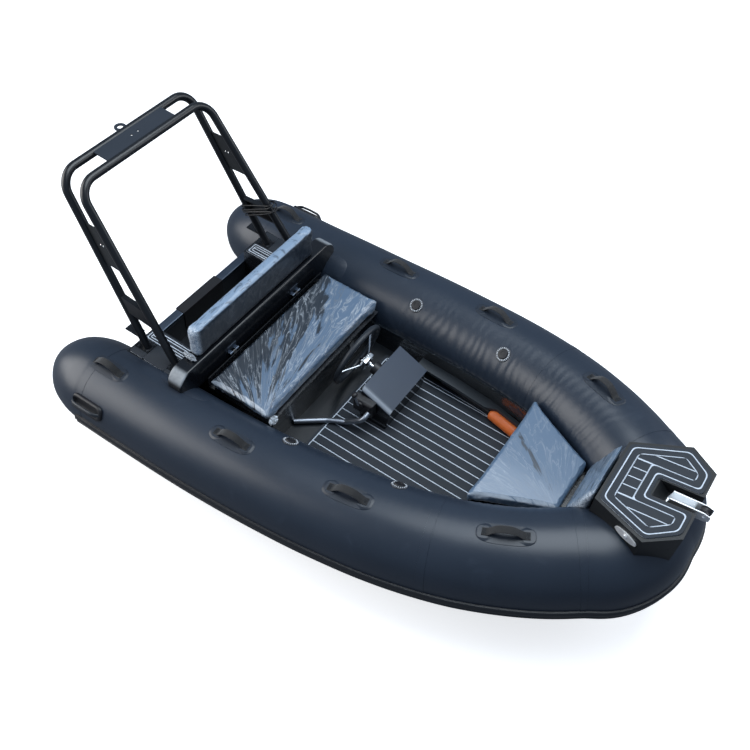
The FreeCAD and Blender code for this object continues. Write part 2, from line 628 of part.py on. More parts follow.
def shelf_ring(x, width):
    """Section of the port side shelf, a folded angle standing off the wall."""
    wall = inside(x, SEAT_GAP) - flare(x) * (SHELF_TOP - DECK_TOP) / (wall_top(x) - DECK_TOP)
    y = wall
    lip = y - width
    ring = [(y, SHELF_TOP), (lip, SHELF_TOP), (lip, SHELF_TOP - SHELF_LIP),
            (lip + SHELF_T, SHELF_TOP - SHELF_LIP), (lip + SHELF_T, SHELF_TOP - SHELF_T),
            (y, SHELF_TOP - SHELF_T)]
    pts = [V(x, a, b) for a, b in ring]
    return Part.makePolygon(pts + [pts[0]])


shelf_port = Part.makeLoft([shelf_ring(x, w) for x, w in SHELF_STATIONS], True, True)
shelf_port = largest(shelf_port.cut(side_wall_port))
shelf_starboard = mirrored(shelf_port)

PADDLE_R, FLOAT_R, FLOAT_GAP = 14.0, 33.0, 5.0
PADDLE_Z = DECK_TOP + PAD_T + FLOAT_R


def paddle_point(x):
    """Paddle axis at a station, laid along the foot of the port wall."""
    lean = flare(x) * (PADDLE_Z - DECK_TOP) / (wall_top(x) - DECK_TOP)
    return V(x, inside(x, SEAT_GAP) - lean - FLOAT_R - FLOAT_GAP, PADDLE_Z)


PADDLE_END, PADDLE_FLOAT = paddle_point(586.0), paddle_point(400.0)
PADDLE_AFT = V(104.0, PADDLE_FLOAT.y + 24.0, PADDLE_Z)
paddle_float = rod(PADDLE_FLOAT, PADDLE_END, FLOAT_R)
paddle_shaft = rod(PADDLE_AFT, PADDLE_FLOAT, PADDLE_R).cut(paddle_float)

# ---- bow locker, cushions and bow deck -----------------------------------------------
LOCKER_AFT, LOCKER_FWD, LOCKER_TOP = 612.0, 1040.0, 415.0
LOCKER_PLAN = [(LOCKER_AFT, 330.0), (LOCKER_FWD, 175.0)]


def tapered(plan, z0, z1, margin=0.0):
    """Plan trapezoid about the centre line, thick from z0 to z1."""
    (xa, ya), (xb, yb) = plan
    xa, xb = xa + margin, xb - margin
    ya, yb = ya - margin, yb - margin
    return slab_xy([(xa, -ya), (xb, -yb), (xb, yb), (xa, ya)], z0, z1)


bow_locker = tapered(LOCKER_PLAN, DECK_TOP, LOCKER_TOP)
bow_locker = bow_locker.cut(tapered(LOCKER_PLAN, DECK_TOP - 1, LOCKER_TOP - 4, 6.0))
bow_locker = off_tubes(bow_locker).cut(hull)
bow_locker = largest(bow_locker.cut(side_wall_port).cut(side_wall_starboard))

BOWSEAT_T = 62.0
BOWSEAT = [(590.0, 327.0), (968.0, 150.0)]
bow_seat_cushion = tapered(BOWSEAT, LOCKER_TOP, LOCKER_TOP + BOWSEAT_T)
bow_seat_cushion = off_tubes(bow_seat_cushion)
BOWBACK_HALF = 160.0
# side outline x, z of the sloping bolster against the bow deck
BOWBACK = [(971.0, LOCKER_TOP + 1), (1062.0, LOCKER_TOP + 1), (1062.0, 704.0), (1042.0, 704.0),
           (971.0, 500.0)]

DECKBOX_X, DECKBOX_TOP, DECKBOX_RAKE = 1190.0, 735.0, 0.19      # the bow deck climbs forward
DECKBOX_FOOT, DECKBOX_SPARE = 430.0, 90.0
DECKBOX_X0, DECKBOX_X1, DECKBOX_HALF = 1000.0, 1500.0, 300.0
BOW_PAD_PLAN = [(1078.0, 154.0), (1297.0, 246.0), (1406.0, 160.0)]
BOXPLAN = [(1067.0, 164.0), (1296.0, 262.0), (1418.0, 174.0)]


def mirrored_plan(half):
    """Closed outline from its port half."""
    return list(half) + [(x, -y) for x, y in reversed(half)]


def bow_deck_z(x, rise=0.0):
    """Height of the sloping bow deck at a station."""
    return DECKBOX_TOP + DECKBOX_RAKE * (x - DECKBOX_X) + rise


def raked(outline, half, rise=0.0):
    """Side outline of (x, height above the bow deck) pairs, each side of the centre plane."""
    return slab_xz([(x, bow_deck_z(x, h + rise)) for x, h in outline], -half, half)


bow_deck = slab_xy(mirrored_plan(BOXPLAN), DECKBOX_FOOT, DECKBOX_TOP + DECKBOX_SPARE)
bow_deck = bow_deck.cut(raked([(DECKBOX_X0, 0), (DECKBOX_X1, 0), (DECKBOX_X1, 2 * DECKBOX_SPARE),
                               (DECKBOX_X0, 2 * DECKBOX_SPARE)], DECKBOX_HALF))
bow_deck = off_tubes(bow_deck)
bow_deck = max(bow_deck.Solids, key=lambda s: s.BoundBox.ZMax)
SLOT_HALF, SLOT_AFT, SLOT_RAMP, SLOT_DEEP = 44.0, 1244.0, 52.0, 56.0
SLOT_MARGIN = 7.0
slot_cut = raked([(SLOT_AFT, 1), (SLOT_AFT + SLOT_RAMP, -SLOT_DEEP), (DECKBOX_X1, -SLOT_DEEP),
                  (DECKBOX_X1, 1)], SLOT_HALF)
bow_deck = bow_deck.cut(slot_cut)
bow_pad = slab_xy(mirrored_plan(BOW_PAD_PLAN), DECKBOX_FOOT, DECKBOX_TOP + DECKBOX_SPARE)
bow_pad = bow_pad.common(raked([(DECKBOX_X0, 0), (DECKBOX_X1, 0), (DECKBOX_X1, PAD_T),
                                (DECKBOX_X0, PAD_T)], DECKBOX_HALF))
bow_pad = bow_pad.cut(box(SLOT_AFT - SLOT_MARGIN, DECKBOX_X1, -SLOT_HALF - SLOT_MARGIN,
                          SLOT_HALF + SLOT_MARGIN, DECKBOX_FOOT, DECKBOX_TOP + DECKBOX_SPARE))

bow_back_cushion = slab_xz(BOWBACK, -BOWBACK_HALF, BOWBACK_HALF)
bow_back_cushion = largest(off_tubes(bow_back_cushion.cut(bow_locker)))

ROLLER_X, ROLLER_DROP, ROLLER_R, ROLLER_HALF = 1446.0, 36.0, 24.0, 16.0
ROLLER_Z = bow_deck_z(ROLLER_X, -ROLLER_DROP)
CHEEK_T = 4.0
# x, height above the bow deck
BRACKET = [(1300.0, -56.0), (1452.0, -56.0), (1470.0, -48.0), (1470.0, -20.0), (1440.0, -8.0),
           (1310.0, -4.0)]
BRACKET_FLOOR, BRACKET_LOW, BRACKET_OPEN = -56.0, -70.0, 1404.0
CHEEK_IN = ROLLER_HALF + 2
bracket = raked(BRACKET, CHEEK_IN + CHEEK_T)
bracket = bracket.cut(raked([(BRACKET[0][0] - 10, BRACKET_FLOOR + CHEEK_T),
                             (DECKBOX_X1, BRACKET_FLOOR + CHEEK_T), (DECKBOX_X1, 20.0),
                             (BRACKET[0][0] - 10, 20.0)], CHEEK_IN))
bracket = bracket.cut(raked([(BRACKET_OPEN, BRACKET_LOW), (DECKBOX_X1, BRACKET_LOW),
                             (DECKBOX_X1, 0.0), (BRACKET_OPEN, 0.0)], CHEEK_IN))
PIN_R = 5.0
bracket = bracket.fuse(rod(V(ROLLER_X, -ROLLER_HALF - 9, ROLLER_Z),
                           V(ROLLER_X, ROLLER_HALF + 9, ROLLER_Z), PIN_R)).removeSplitter()
bow_deck = largest(bow_deck.cut(bracket))
roller = rod(V(ROLLER_X, -ROLLER_HALF + 1, ROLLER_Z), V(ROLLER_X, ROLLER_HALF - 1, ROLLER_Z),
             ROLLER_R)
roller = roller.cut(Part.makeTorus(ROLLER_R + 6, 12, V(ROLLER_X, 0, ROLLER_Z), Y_AXIS))
roller = roller.cut(rod(V(ROLLER_X, -40, ROLLER_Z), V(ROLLER_X, 40, ROLLER_Z), PIN_R + RUN_GAP))

# ---- tube fittings -------------------------------------------------------------------


STRAKE_T = 15.0


def strake_ring(point, tangent):
    """Section of the rubbing strake, centred a little below the widest line."""
    side = Z_AXIS.cross(tangent).normalize()
    up = tangent.cross(side)
    a = math.radians(-8)
    out = V(side).multiply(math.cos(a)).add(V(up).multiply(math.sin(a)))
    rise = V(side).multiply(-math.sin(a)).add(V(up).multiply(math.cos(a)))
    corners = [(TUBE_R - 12, -32), (TUBE_R + 5, -32), (TUBE_R + STRAKE_T, -18),
               (TUBE_R + STRAKE_T, 18), (TUBE_R + 5, 32), (TUBE_R - 12, 32)]
    pts = [point.add(V(out).multiply(r)).add(V(rise).multiply(h)) for r, h in corners]
    return Part.makePolygon(pts + [pts[0]])


rub_strake_all = off_tubes(Part.makeLoft([strake_ring(p, t) for p, t in LINE], True, False))
rub_strake = max(rub_strake_all.Solids, key=lambda s: s.Volume)

# x, degrees up from the outboard side
STRAPS = [(-1120.0, 84.0), (-360.0, 85.0), (239.0, 85.0), (875.0, 88.0)]
VALVES = [(-147.0, 125.0), (402.0, 128.0)]


def on_skin(x, degrees, lift, make):
    """Build make() in a local frame (X along the tube, Z out of the skin) and seat it."""
    at, out, t = surface_point(x, degrees, lift)
    side = out.cross(t).normalize()
    m = FreeCAD.Matrix(t.x, side.x, out.x, at.x, t.y, side.y, out.y, at.y,
                       t.z, side.z, out.z, at.z, 0, 0, 0, 1)
    solid = make()
    solid.transformShape(m, False, False)
    return solid


STRAP_L, STRAP_W, STRAP_T, STRAP_RISE = 150.0, 34.0, 5.0, 42.0


def strap():
    """Webbing grab strap bowed up off its two glued ends, on a patch."""
    half = STRAP_L / 2
    outer = [(-half - 22, -6), (-half - 22, 5), (-half, 7), (-half + 34, STRAP_RISE),
             (half - 34, STRAP_RISE), (half, 7), (half + 22, 5), (half + 22, -6)]
    body = slab_xz(outer, -STRAP_W / 2, STRAP_W / 2)
    hole = slab_xz([(-half + 8, 2), (-half + 38, STRAP_RISE - STRAP_T),
                    (half - 38, STRAP_RISE - STRAP_T), (half - 8, 2)], -50, 50)
    patch = box(-half - 30, half + 30, -34, 34, -10, 3)
    patch = round_edges(patch, 30.0, lambda e: is_along(e, Z_AXIS))
    return body.cut(hole).fuse(patch).removeSplitter()


def both(solids):
    """Port solids with their starboard twins."""
    return solids + [mirrored(s) for s in solids]


grab_straps = both([on_skin(x, a, 0.0, strap).cut(CLEAR_PORT) for x, a in STRAPS])


def valve():
    """Inflation valve flange with its cap."""
    flange = Part.makeCylinder(37, 12, V(0, 0, -8), Z_AXIS)
    cap = Part.makeCylinder(24, 8, V(0, 0, 2), Z_AXIS)
    return flange.fuse(cap).removeSplitter()


valves = both([on_skin(x, a, 0.0, valve).cut(CLEAR_PORT) for x, a in VALVES])


def lift_handle():
    """Moulded carrying handle: oval frame, recess and a grip bar."""
    frame = box(-100, 100, -42, 42, -20, 16)
    frame = round_edges(frame, 36.0, lambda e: is_along(e, Z_AXIS))
    opening = box(-70, 70, -26, 26, 3, 60)
    opening = round_edges(opening, 20.0, lambda e: is_along(e, Z_AXIS))
    bar = slab_xz([(-92, 6), (-92, 16), (-66, 38), (66, 38), (92, 16), (92, 6), (78, 6),
                   (58, 25), (-58, 25), (-78, 6)], -9, 9)
    return frame.cut(opening).fuse(bar).removeSplitter()


lift_handles = both([on_skin(-1118.0, 26.0, 0.0, lift_handle).cut(CLEAR_PORT)])

FAIRLEAD_X, FAIRLEAD_DROP = 1236.0, 44.0
FAIRLEAD_Z = bow_deck_z(FAIRLEAD_X, -FAIRLEAD_DROP)
FAIRLEAD_R, FAIRLEAD_LONG, FAIRLEAD_T, FAIRLEAD_BOSS = 20.0, 2.75, 5.0, 8.0


def fairlead():
    """Oval stainless bow plate with a raised boss, on the port flank."""
    plate = Part.makeCylinder(FAIRLEAD_R, FAIRLEAD_T, V(0, 0, 0), Z_AXIS)
    m = FreeCAD.Matrix(FAIRLEAD_LONG, 0, 0, 0, 0, 1.0, 0, 0, 0, 0, 1.0, 0, 0, 0, 0, 1)
    plate = plate.transformGeometry(m)
    boss = Part.makeCylinder(FAIRLEAD_BOSS, FAIRLEAD_T + 5, V(0, 0, 0), Z_AXIS)
    solid = plate.fuse(boss).removeSplitter()
    run_x, run_y = BOXPLAN[1][0] - BOXPLAN[0][0], BOXPLAN[1][1] - BOXPLAN[0][1]
    flank = V(run_x, run_y, DECKBOX_RAKE * run_x).normalize()
    out = V(-run_y, run_x, 0).normalize()
    f = (FAIRLEAD_X - BOXPLAN[0][0]) / (BOXPLAN[1][0] - BOXPLAN[0][0])
    y = BOXPLAN[0][1] + f * (BOXPLAN[1][1] - BOXPLAN[0][1])
    side = out.cross(flank)
    place = FreeCAD.Matrix(flank.x, side.x, out.x, FAIRLEAD_X, flank.y, side.y, out.y, y,
                           flank.z, side.z, out.z, FAIRLEAD_Z, 0, 0, 0, 1)
    solid.transformShape(place, False, False)
    return solid


bow_fairleads = both([fairlead()])

EYE_AT, EYE_R, EYE_HOLE_R, EYE_T = V(1216.0, 0, 84.0), 30.0, 14.0, 10.0
tow_eye = rod(EYE_AT.sub(V(0, EYE_T / 2, 0)), EYE_AT.add(V(0, EYE_T / 2, 0)), EYE_R)
tow_eye = tow_eye.fuse(box(EYE_AT.x - 70, EYE_AT.x, -EYE_T / 2, EYE_T / 2, EYE_AT.z,
                           EYE_AT.z + EYE_R))
tow_eye = tow_eye.cut(rod(V(EYE_AT.x, -EYE_T, EYE_AT.z), V(EYE_AT.x, EYE_T, EYE_AT.z),
                          EYE_HOLE_R)).cut(hull)
tow_eye = largest(tow_eye)

NODES = {
    "hull": [hull], "deck_floor": [deck_floor],
    "side_walls": [side_wall_port, side_wall_starboard],
    "transom": [transom], "transom_wear_plate": [transom_wear_plate],
    "stern_boxes": [stern_box_port, stern_box_starboard],
    "tube_port": [tube_port], "tube_starboard": [tube_starboard], "tube_bow": [tube_bow],
    "rub_strake": [rub_strake], "grab_straps": grab_straps, "valves": valves,
    "lift_handles": lift_handles,
    "arch_rear_pipe": [arch_rear_pipe], "arch_front_pipe": [arch_front_pipe],
    "arch_top_plate": [top_plate, lug],
    "arch_side_plates": [side_plate, mirrored(side_plate)],
    "arch_cross_bars": [cross_bar, mirrored(cross_bar), tongue, mirrored(tongue)],
    "arch_cable_coil": [arch_cable_coil],
    "backrest_box": [backrest_box], "backrest_cushion": [backrest_cushion],
    "seat_box": [seat_box], "seat_lid": [seat_lid], "seat_cushion": [seat_cushion],
    "seat_hinges": hinge_fixed, "seat_latch": [seat_latch],
    "console": [console], "control_box": [control_box], "control_conduit": [control_conduit],
    "helm_collar": [helm_collar], "wheel_rim": [wheel_rim], "wheel_spokes": [wheel_spokes],
    "deck_pads": [deck_pad, stern_pad, mirrored(stern_pad)],
    "side_shelves": [shelf_port, shelf_starboard],
    "paddle_shaft": [paddle_shaft], "paddle_float": [paddle_float],
    "bow_locker": [bow_locker], "bow_seat_cushion": [bow_seat_cushion],
    "bow_back_cushion": [bow_back_cushion], "bow_deck": [bow_deck], "bow_pad": [bow_pad],
    "anchor_bracket": [bracket], "anchor_roller": [roller],
    "bow_fairleads": bow_fairleads, "tow_eye": [tow_eye],
}

for name, solids in NODES.items():
    flat = []
    for s in solids:
        flat += s.Solids
    shape = flat[0] if len(flat) == 1 else Part.makeCompound(flat)
    shape.exportStep("parts/" + name + ".step")
    ok = all(s.isValid() and s.isClosed() for s in flat)
    b = shape.BoundBox
    print("%-20s n=%d ok=%s vol=%.4g x %.0f..%.0f y %.0f..%.0f z %.0f..%.0f" % (
        name, len(flat), ok, shape.Volume, b.XMin, b.XMax, b.YMin, b.YMax, b.ZMin, b.ZMax))
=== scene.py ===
"""Small rigid inflatable tender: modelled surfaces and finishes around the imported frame."""

import json
import logging
import math
from dataclasses import dataclass
from enum import Enum
from itertools import product
from typing import Callable, Optional, Sequence, Union

import bpy
import numpy as np
from mathutils import Matrix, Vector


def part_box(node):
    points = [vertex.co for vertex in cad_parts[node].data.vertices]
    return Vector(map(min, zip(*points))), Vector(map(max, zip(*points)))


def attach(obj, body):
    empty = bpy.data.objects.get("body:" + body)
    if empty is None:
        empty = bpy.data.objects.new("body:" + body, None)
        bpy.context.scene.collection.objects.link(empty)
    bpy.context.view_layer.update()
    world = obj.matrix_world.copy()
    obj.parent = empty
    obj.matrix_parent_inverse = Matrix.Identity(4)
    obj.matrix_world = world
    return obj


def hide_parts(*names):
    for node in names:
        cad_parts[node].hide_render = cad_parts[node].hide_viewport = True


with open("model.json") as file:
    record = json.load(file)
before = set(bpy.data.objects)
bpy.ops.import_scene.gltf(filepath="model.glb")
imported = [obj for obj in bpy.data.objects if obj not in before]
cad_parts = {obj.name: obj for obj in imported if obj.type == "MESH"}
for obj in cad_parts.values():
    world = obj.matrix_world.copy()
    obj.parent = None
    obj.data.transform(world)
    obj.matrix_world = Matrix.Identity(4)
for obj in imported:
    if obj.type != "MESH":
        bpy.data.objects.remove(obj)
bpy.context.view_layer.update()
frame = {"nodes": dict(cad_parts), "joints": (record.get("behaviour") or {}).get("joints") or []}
LOG = logging.getLogger("tender")

Array = np.ndarray
Pair = tuple[float, float]
Triple = tuple[float, float, float]
Pairs = tuple[Pair, ...]
Triples = tuple[Triple, ...]
Piece, Material, Socket = bpy.types.Object, bpy.types.Material, bpy.types.NodeSocket
X_AXIS, Y_AXIS, Z_AXIS = np.eye(3)
MIRROR = np.array([1.0, -1.0, 1.0])


# ---- numbers and curves ------------------------
def ease(x: Union[float, Array]) -> Array:
    """Smooth step: 3x^2 - 2x^3 with x held between 0 and 1."""
    x = np.clip(x, 0.0, 1.0)
    return x * x * (3.0 - 2.0 * x)


def unit(v: Array) -> Array:
    """Each vector divided by its length."""
    return v / np.maximum(np.linalg.norm(v, axis=-1, keepdims=True), 1e-12)


def ripple(p: Array, scale: float, seed: int, waves: int = 9) -> Array:
    """Smooth pseudo-random field: a sum of plane sine waves in fixed random directions.

    Args:
        p: points, in metres.
        scale: typical wave length, in metres.
        seed: chooses the directions and phases.
        waves: how many waves are added.

    Returns:
        One number from about -1 to 1 for each point.
    """
    rng = np.random.default_rng(seed)
    way = unit(rng.normal(size=(waves, 3)))
    pitch = 2 * math.pi / (scale * rng.uniform(0.6, 1.6, waves))
    phase = rng.uniform(0, 2 * math.pi, waves)
    total = np.sin(p @ way.T * pitch + phase).sum(-1)
    return total / math.sqrt(waves) / 1.4


def creases(p: Array, scale: float, seed: int) -> Array:
    """Crumpled-film ridges: one minus the absolute value of a smooth field, sharpened.

    Args:
        p: points, in metres.
        scale: typical width of a crease.
        seed: chooses the field.

    Returns:
        One number from 0 to 1.5 for each point.
    """
    a = 1.0 - np.abs(ripple(p, scale, seed))
    b = 1.0 - np.abs(ripple(p, scale * 0.55, seed + 7))
    return np.clip(a, 0, 1) ** 4 + 0.5 * np.clip(b, 0, 1) ** 4


def distances(path: Array) -> Array:
    """Distance from the start to each point of a path."""
    return np.concatenate([[0.0], np.cumsum(np.linalg.norm(np.diff(path, axis=0), axis=1))])


def through(points: Sequence[Sequence[float]], count: int) -> Array:
    """Smooth line through points: centripetal Catmull-Rom spans, evenly re-spaced.

    Args:
        points: places the line passes, in order.
        count: how many evenly spaced points to return.

    Returns:
        Array of count points.
    """
    p = np.asarray(points, float)
    p = np.vstack([2 * p[0] - p[1], p, 2 * p[-1] - p[-2]])
    step = np.linalg.norm(np.diff(p, axis=0), axis=1) ** 0.5
    knot = np.concatenate([[0.0], np.cumsum(step)])
    t = np.linspace(knot[1], knot[-2], 40 * len(p))
    k = np.clip(np.searchsorted(knot, t, side="right") - 1, 1, len(p) - 3)
    t0, t1, t2, t3 = (knot[k + i][:, None] for i in (-1, 0, 1, 2))
    q0, q1, q2, q3 = (p[k + i] for i in (-1, 0, 1, 2))
    t = t[:, None]

    def between(lo: Array, hi: Array, a: Array, b: Array) -> Array:
        """Straight blend of a at time lo and b at time hi."""
        return (hi - t) / (hi - lo) * a + (t - lo) / (hi - lo) * b

    middle = between(t1, t2, q1, q2)
    fine = between(t1, t2, between(t0, t2, between(t0, t1, q0, q1), middle),
                   between(t1, t3, middle, between(t2, t3, q2, q3)))
    run = distances(fine)
    at = np.linspace(0.0, run[-1], count)
    return np.stack([np.interp(at, run, fine[:, i]) for i in range(3)], axis=1)


def axes_along(path: Array, up: Array = Z_AXIS) -> tuple[Array, Array, Array]:
    """Unit vectors at each point of a path; the side is the up hint crossed with the tangent.

    Args:
        path: n points.
        up: hint for the upward direction.

    Returns:
        Tangents, sides and upward vectors.
    """
    tangent = unit(np.gradient(path, axis=0))
    side = unit(np.cross(np.broadcast_to(up, tangent.shape), tangent))
    return tangent, side, np.cross(tangent, side)


def carried(path: Array, profile: Array, up: Array = Z_AXIS) -> Array:
    """Profile carried along a path: path + profile.x * side + profile.y * upward.

    Args:
        path: n points.
        profile: m pairs, or n by m pairs where it changes along the path.
        up: hint for the upward direction.

    Returns:
        n by m grid of points.
    """
    _, side, rise = axes_along(path, up)
    profile = np.broadcast_to(profile, (len(path),) + np.shape(profile)[-2:])
    return (path[:, None] + profile[..., :1] * side[:, None]
            + profile[..., 1:] * rise[:, None])


def turns(count: int) -> Array:
    """Angles evenly spaced round a circle."""
    return np.linspace(0, 2 * math.pi, count, endpoint=False)


def circle(radius: float, count: int) -> Array:
    """Evenly spaced points of a circle about (0, 0)."""
    a = turns(count)
    return radius * np.stack([np.cos(a), np.sin(a)], axis=1)


def ray(turn: float, across: Array, up: Array) -> Array:
    """Direction turned from across towards up: cos(turn) across + sin(turn) up."""
    return math.cos(turn) * across + math.sin(turn) * up


def rectangle(x0: float, x1: float, y0: float, y1: float) -> Array:
    """Corners of a rectangle, counter-clockwise."""
    return np.array([(x0, y0), (x1, y0), (x1, y1), (x0, y1)])


def rounded(outline: Array, radius: float, steps: int = 4) -> Array:
    """Closed outline with each corner replaced by a quadratic arc.

    Args:
        outline: m pairs.
        radius: about the radius of the arcs, less where sides are short.
        steps: pieces of an arc.

    Returns:
        m * (steps + 1) pairs.
    """
    p = np.asarray(outline, float)
    back, ahead = np.roll(p, 1, axis=0) - p, np.roll(p, -1, axis=0) - p
    cut = np.minimum(radius, 0.45 * np.minimum(np.linalg.norm(back, axis=1),
                                               np.linalg.norm(ahead, axis=1)))[:, None]
    a, b = p + unit(back) * cut, p + unit(ahead) * cut
    t = np.linspace(0, 1, steps + 1)[None, :, None]
    arc = (1 - t) ** 2 * a[:, None] + 2 * t * (1 - t) * p[:, None] + t ** 2 * b[:, None]
    return arc.reshape(-1, 2)


def bar(half_x: float, half_y: float, radius: float, steps: int = 4) -> Array:
    """Rounded rectangle of those half sides about (0, 0)."""
    return rounded(rectangle(-half_x, half_x, -half_y, half_y), radius, steps)


def inset(outline: Array, by: float) -> Array:
    """Counter-clockwise outline moved inwards, each vertex along its corner's middle line.

    Args:
        outline: m pairs.
        by: the distance.

    Returns:
        m pairs.
    """
    back = unit(outline - np.roll(outline, 1, axis=0))
    ahead = unit(np.roll(outline, -1, axis=0) - outline)
    n0 = np.stack([-back[:, 1], back[:, 0]], axis=1)
    n1 = np.stack([-ahead[:, 1], ahead[:, 0]], axis=1)
    n = unit(n0 + n1)
    return outline + n * by / np.maximum((n * n0).sum(1, keepdims=True), 0.35)


def clipped(outline: Array, normal: Sequence[float], limit: float) -> Array:
    """Part of a convex outline where normal . p <= limit.

    Args:
        outline: m pairs.
        normal: direction of the cut-off side.
        limit: how far the kept part reaches in that direction.

    Returns:
        The kept outline, or no pairs.
    """
    d = outline @ np.asarray(normal, float) - limit
    kept = []
    for i in range(len(outline)):
        j = (i + 1) % len(outline)
        if d[i] <= 0:
            kept.append(outline[i])
        if (d[i] < 0 < d[j]) or (d[j] < 0 < d[i]):
            kept.append(outline[i] + (outline[j] - outline[i]) * d[i] / (d[i] - d[j]))
    return np.asarray(kept).reshape(-1, 2)


# ---- meshes ------------------------
class Body(Enum):
    """The CAD bodies a visual piece can ride on."""

    BOAT = "boat"
    WHEEL = "wheel"
    LID = "lid"
    ROLLER = "roller"


class Shell:
    """Collects grids of points into one mesh of closed, outward-facing surfaces."""

    def __init__(self) -> None:
        """Starts empty."""
        self.points: list[Array] = []
        self.faces: list[list[int]] = []
        self.count = 0

    def grid(self, p: Array, ring: bool = False) -> "Shell":
        """Adds n closed rows of m points as quads.

        Args:
            p: n by m by 3 points.
            ring: join the last row to the first, instead of closing both with a face.

        Returns:
            This shell, so that calls can follow each other.
        """
        n, m = p.shape[:2]
        index = np.arange(n * m).reshape(n, m)
        index = np.hstack([index, index[:, :1]])
        if ring:
            index = np.vstack([index, index[:1]])
        quads = np.stack([index[:-1, :-1], index[1:, :-1], index[1:, 1:], index[:-1, 1:]], -1)
        faces = quads.reshape(-1, 4).tolist()
        if not ring:
            faces.append(list(range(m)))
            faces.append([(n - 1) * m + i for i in reversed(range(m))])
        flat = p.reshape(-1, 3)
        if self._volume(flat, faces) < 0:
            faces = [f[::-1] for f in faces]
        self.faces += [[i + self.count for i in f] for f in faces]
        self.points.append(flat)
        self.count += len(flat)
        return self

    @staticmethod
    def _volume(p: Array, faces: list[list[int]]) -> float:
        """Six times the signed volume: the sum of triangle triple products.

        Args:
            p: points.
            faces: their faces, as indices.

        Returns:
            The volume; it is negative where the faces turn inwards.
        """
        tri = np.array([(f[0], f[i], f[i + 1]) for f in faces for i in range(1, len(f) - 1)])
        q = p - p.mean(0)
        a, b, c = q[tri[:, 0]], q[tri[:, 1]], q[tri[:, 2]]
        return float((np.cross(a, b) * c).sum())

    def slab(self, outline: Array, place: Callable[[Array, float], Array], low: float,
             high: float, edge: float = 0.001) -> "Shell":
        """Adds a plate from a counter-clockwise outline, its upper edge rounded over.

        Args:
            outline: m pairs.
            place: turns pairs and a height into points.
            low: height of the under side.
            high: height of the upper side.
            edge: radius of the upper edge.

        Returns:
            This shell.
        """
        rows = [place(outline, low)]
        for a in np.linspace(0, math.pi / 2, 4):
            rows.append(place(inset(outline, edge * (1 - math.cos(a))),
                              high - edge * (1 - math.sin(a))))
        return self.grid(np.stack(rows))

    def lathe(self, profile: Sequence[Pair], at: Array, axis: Array,
              count: int = 32, swell: Optional[Callable[[Array, Array], Array]] = None) -> "Shell":
        """Adds a turned solid: profile pairs are (radius, distance along the axis).

        Args:
            profile: from one end of the axis to the other.
            at: where the distance is 0.
            axis: direction of the axis.
            count: points round.
            swell: optional factor on the radius, from angle and distance grids.

        Returns:
            This shell.
        """
        pr = np.asarray(profile, float)
        axis = unit(np.asarray(axis, float))
        hint = np.array([1.0, 0, 0]) if abs(axis[0]) < 0.8 else Z_AXIS
        e1 = unit(np.cross(axis, hint))
        e2 = np.cross(axis, e1)
        a = turns(count)[None, :]
        r = pr[:, :1] * (swell(a, pr[:, 1:]) if swell else 1.0)
        p = (np.asarray(at) + (r * np.cos(a))[..., None] * e1 + (r * np.sin(a))[..., None] * e2
             + pr[:, 1][:, None, None] * axis)
        return self.grid(p)

    def rope(self, path: Array, radius: Union[float, Array], count: int = 16,
             up: Array = Z_AXIS) -> "Shell":
        """Adds a round tube: a circle carried along a path.

        Args:
            path: n points.
            radius: one radius, or one for each point.
            count: points round.
            up: hint for the upward direction.

        Returns:
            This shell.
        """
        r = np.broadcast_to(radius, (len(path),))
        return self.grid(carried(path, circle(1.0, count)[None] * r[:, None, None], up))

    def mirrored(self) -> "Shell":
        """Adds a twin of everything so far on the other side of the centre plane.

        Returns:
            This shell.
        """
        p = np.vstack(self.points)
        self.faces += [[i + self.count for i in f[::-1]] for f in self.faces]
        self.points.append(p * MIRROR)
        self.count *= 2
        return self

    def mesh(self, name: str) -> Piece:
        """Everything so far as the mesh of a new object.

        Args:
            name: its name.

        Returns:
            The object.
        """
        mesh = bpy.data.meshes.new(name)
        mesh.from_pydata(np.vstack(self.points).tolist(), [], self.faces)
        mesh.validate()
        return linked(name, mesh)

    def piece(self, name: str, finish: "Finish", body: Body = Body.BOAT,
              instead: Sequence[str] = (), smooth: float = 40.0) -> None:
        """Makes the object, dresses it and ties it to its body.

        Args:
            name: the object's name.
            finish: its finish.
            body: the CAD body it rides on.
            instead: CAD nodes it stands for.
            smooth: edges flatter than this many degrees are shaded smooth.
        """
        obj = self.mesh(name)
        obj.data.shade_smooth()
        obj.data.set_sharp_from_angle(angle=math.radians(smooth))
        settle(obj, finish, body, instead)


def toothed(count: int, depth: float, share: float = 0.0,
            above: float = 0.0) -> Callable[[Array, Array], Array]:
    """Factor on a turned radius that cuts teeth: a square wave round the axis.

    Args:
        count: teeth round.
        depth: share of the radius cut away.
        share: cosine above which it is cut.
        above: distance along the axis above which it is cut.

    Returns:
        Function of angle and distance, for Shell.lathe.
    """
    return lambda a, d: 1 - depth * (np.cos(a * count) > share) * (d > above)


def linked(name: str, data: bpy.types.ID) -> Piece:
    """A new object in the scene.

    Args:
        name: its name.
        data: its mesh, curve, camera or light.

    Returns:
        The object.
    """
    obj = bpy.data.objects.new(name, data)
    bpy.context.scene.collection.objects.link(obj)
    return obj


def joint_named(name: str) -> dict:
    """One of the frame's joints."""
    return next(j for j in frame["joints"] if j["name"] == name)


def settle(obj: Piece, finish: "Finish", body: Body, instead: Sequence[str]) -> None:
    """Gives a piece its finish, ties it to its body and hides the nodes it stands for.

    Args:
        obj: the piece, in place.
        finish: its finish.
        body: the CAD body it rides on.
        instead: CAD nodes it stands for.
    """
    obj.data.materials.append(finish.material())
    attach(obj, body.value)
    if instead:
        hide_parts(*instead)
    LOG.info("%s: %d faces on %s", obj.name, len(getattr(obj.data, "polygons", [])), body.value)


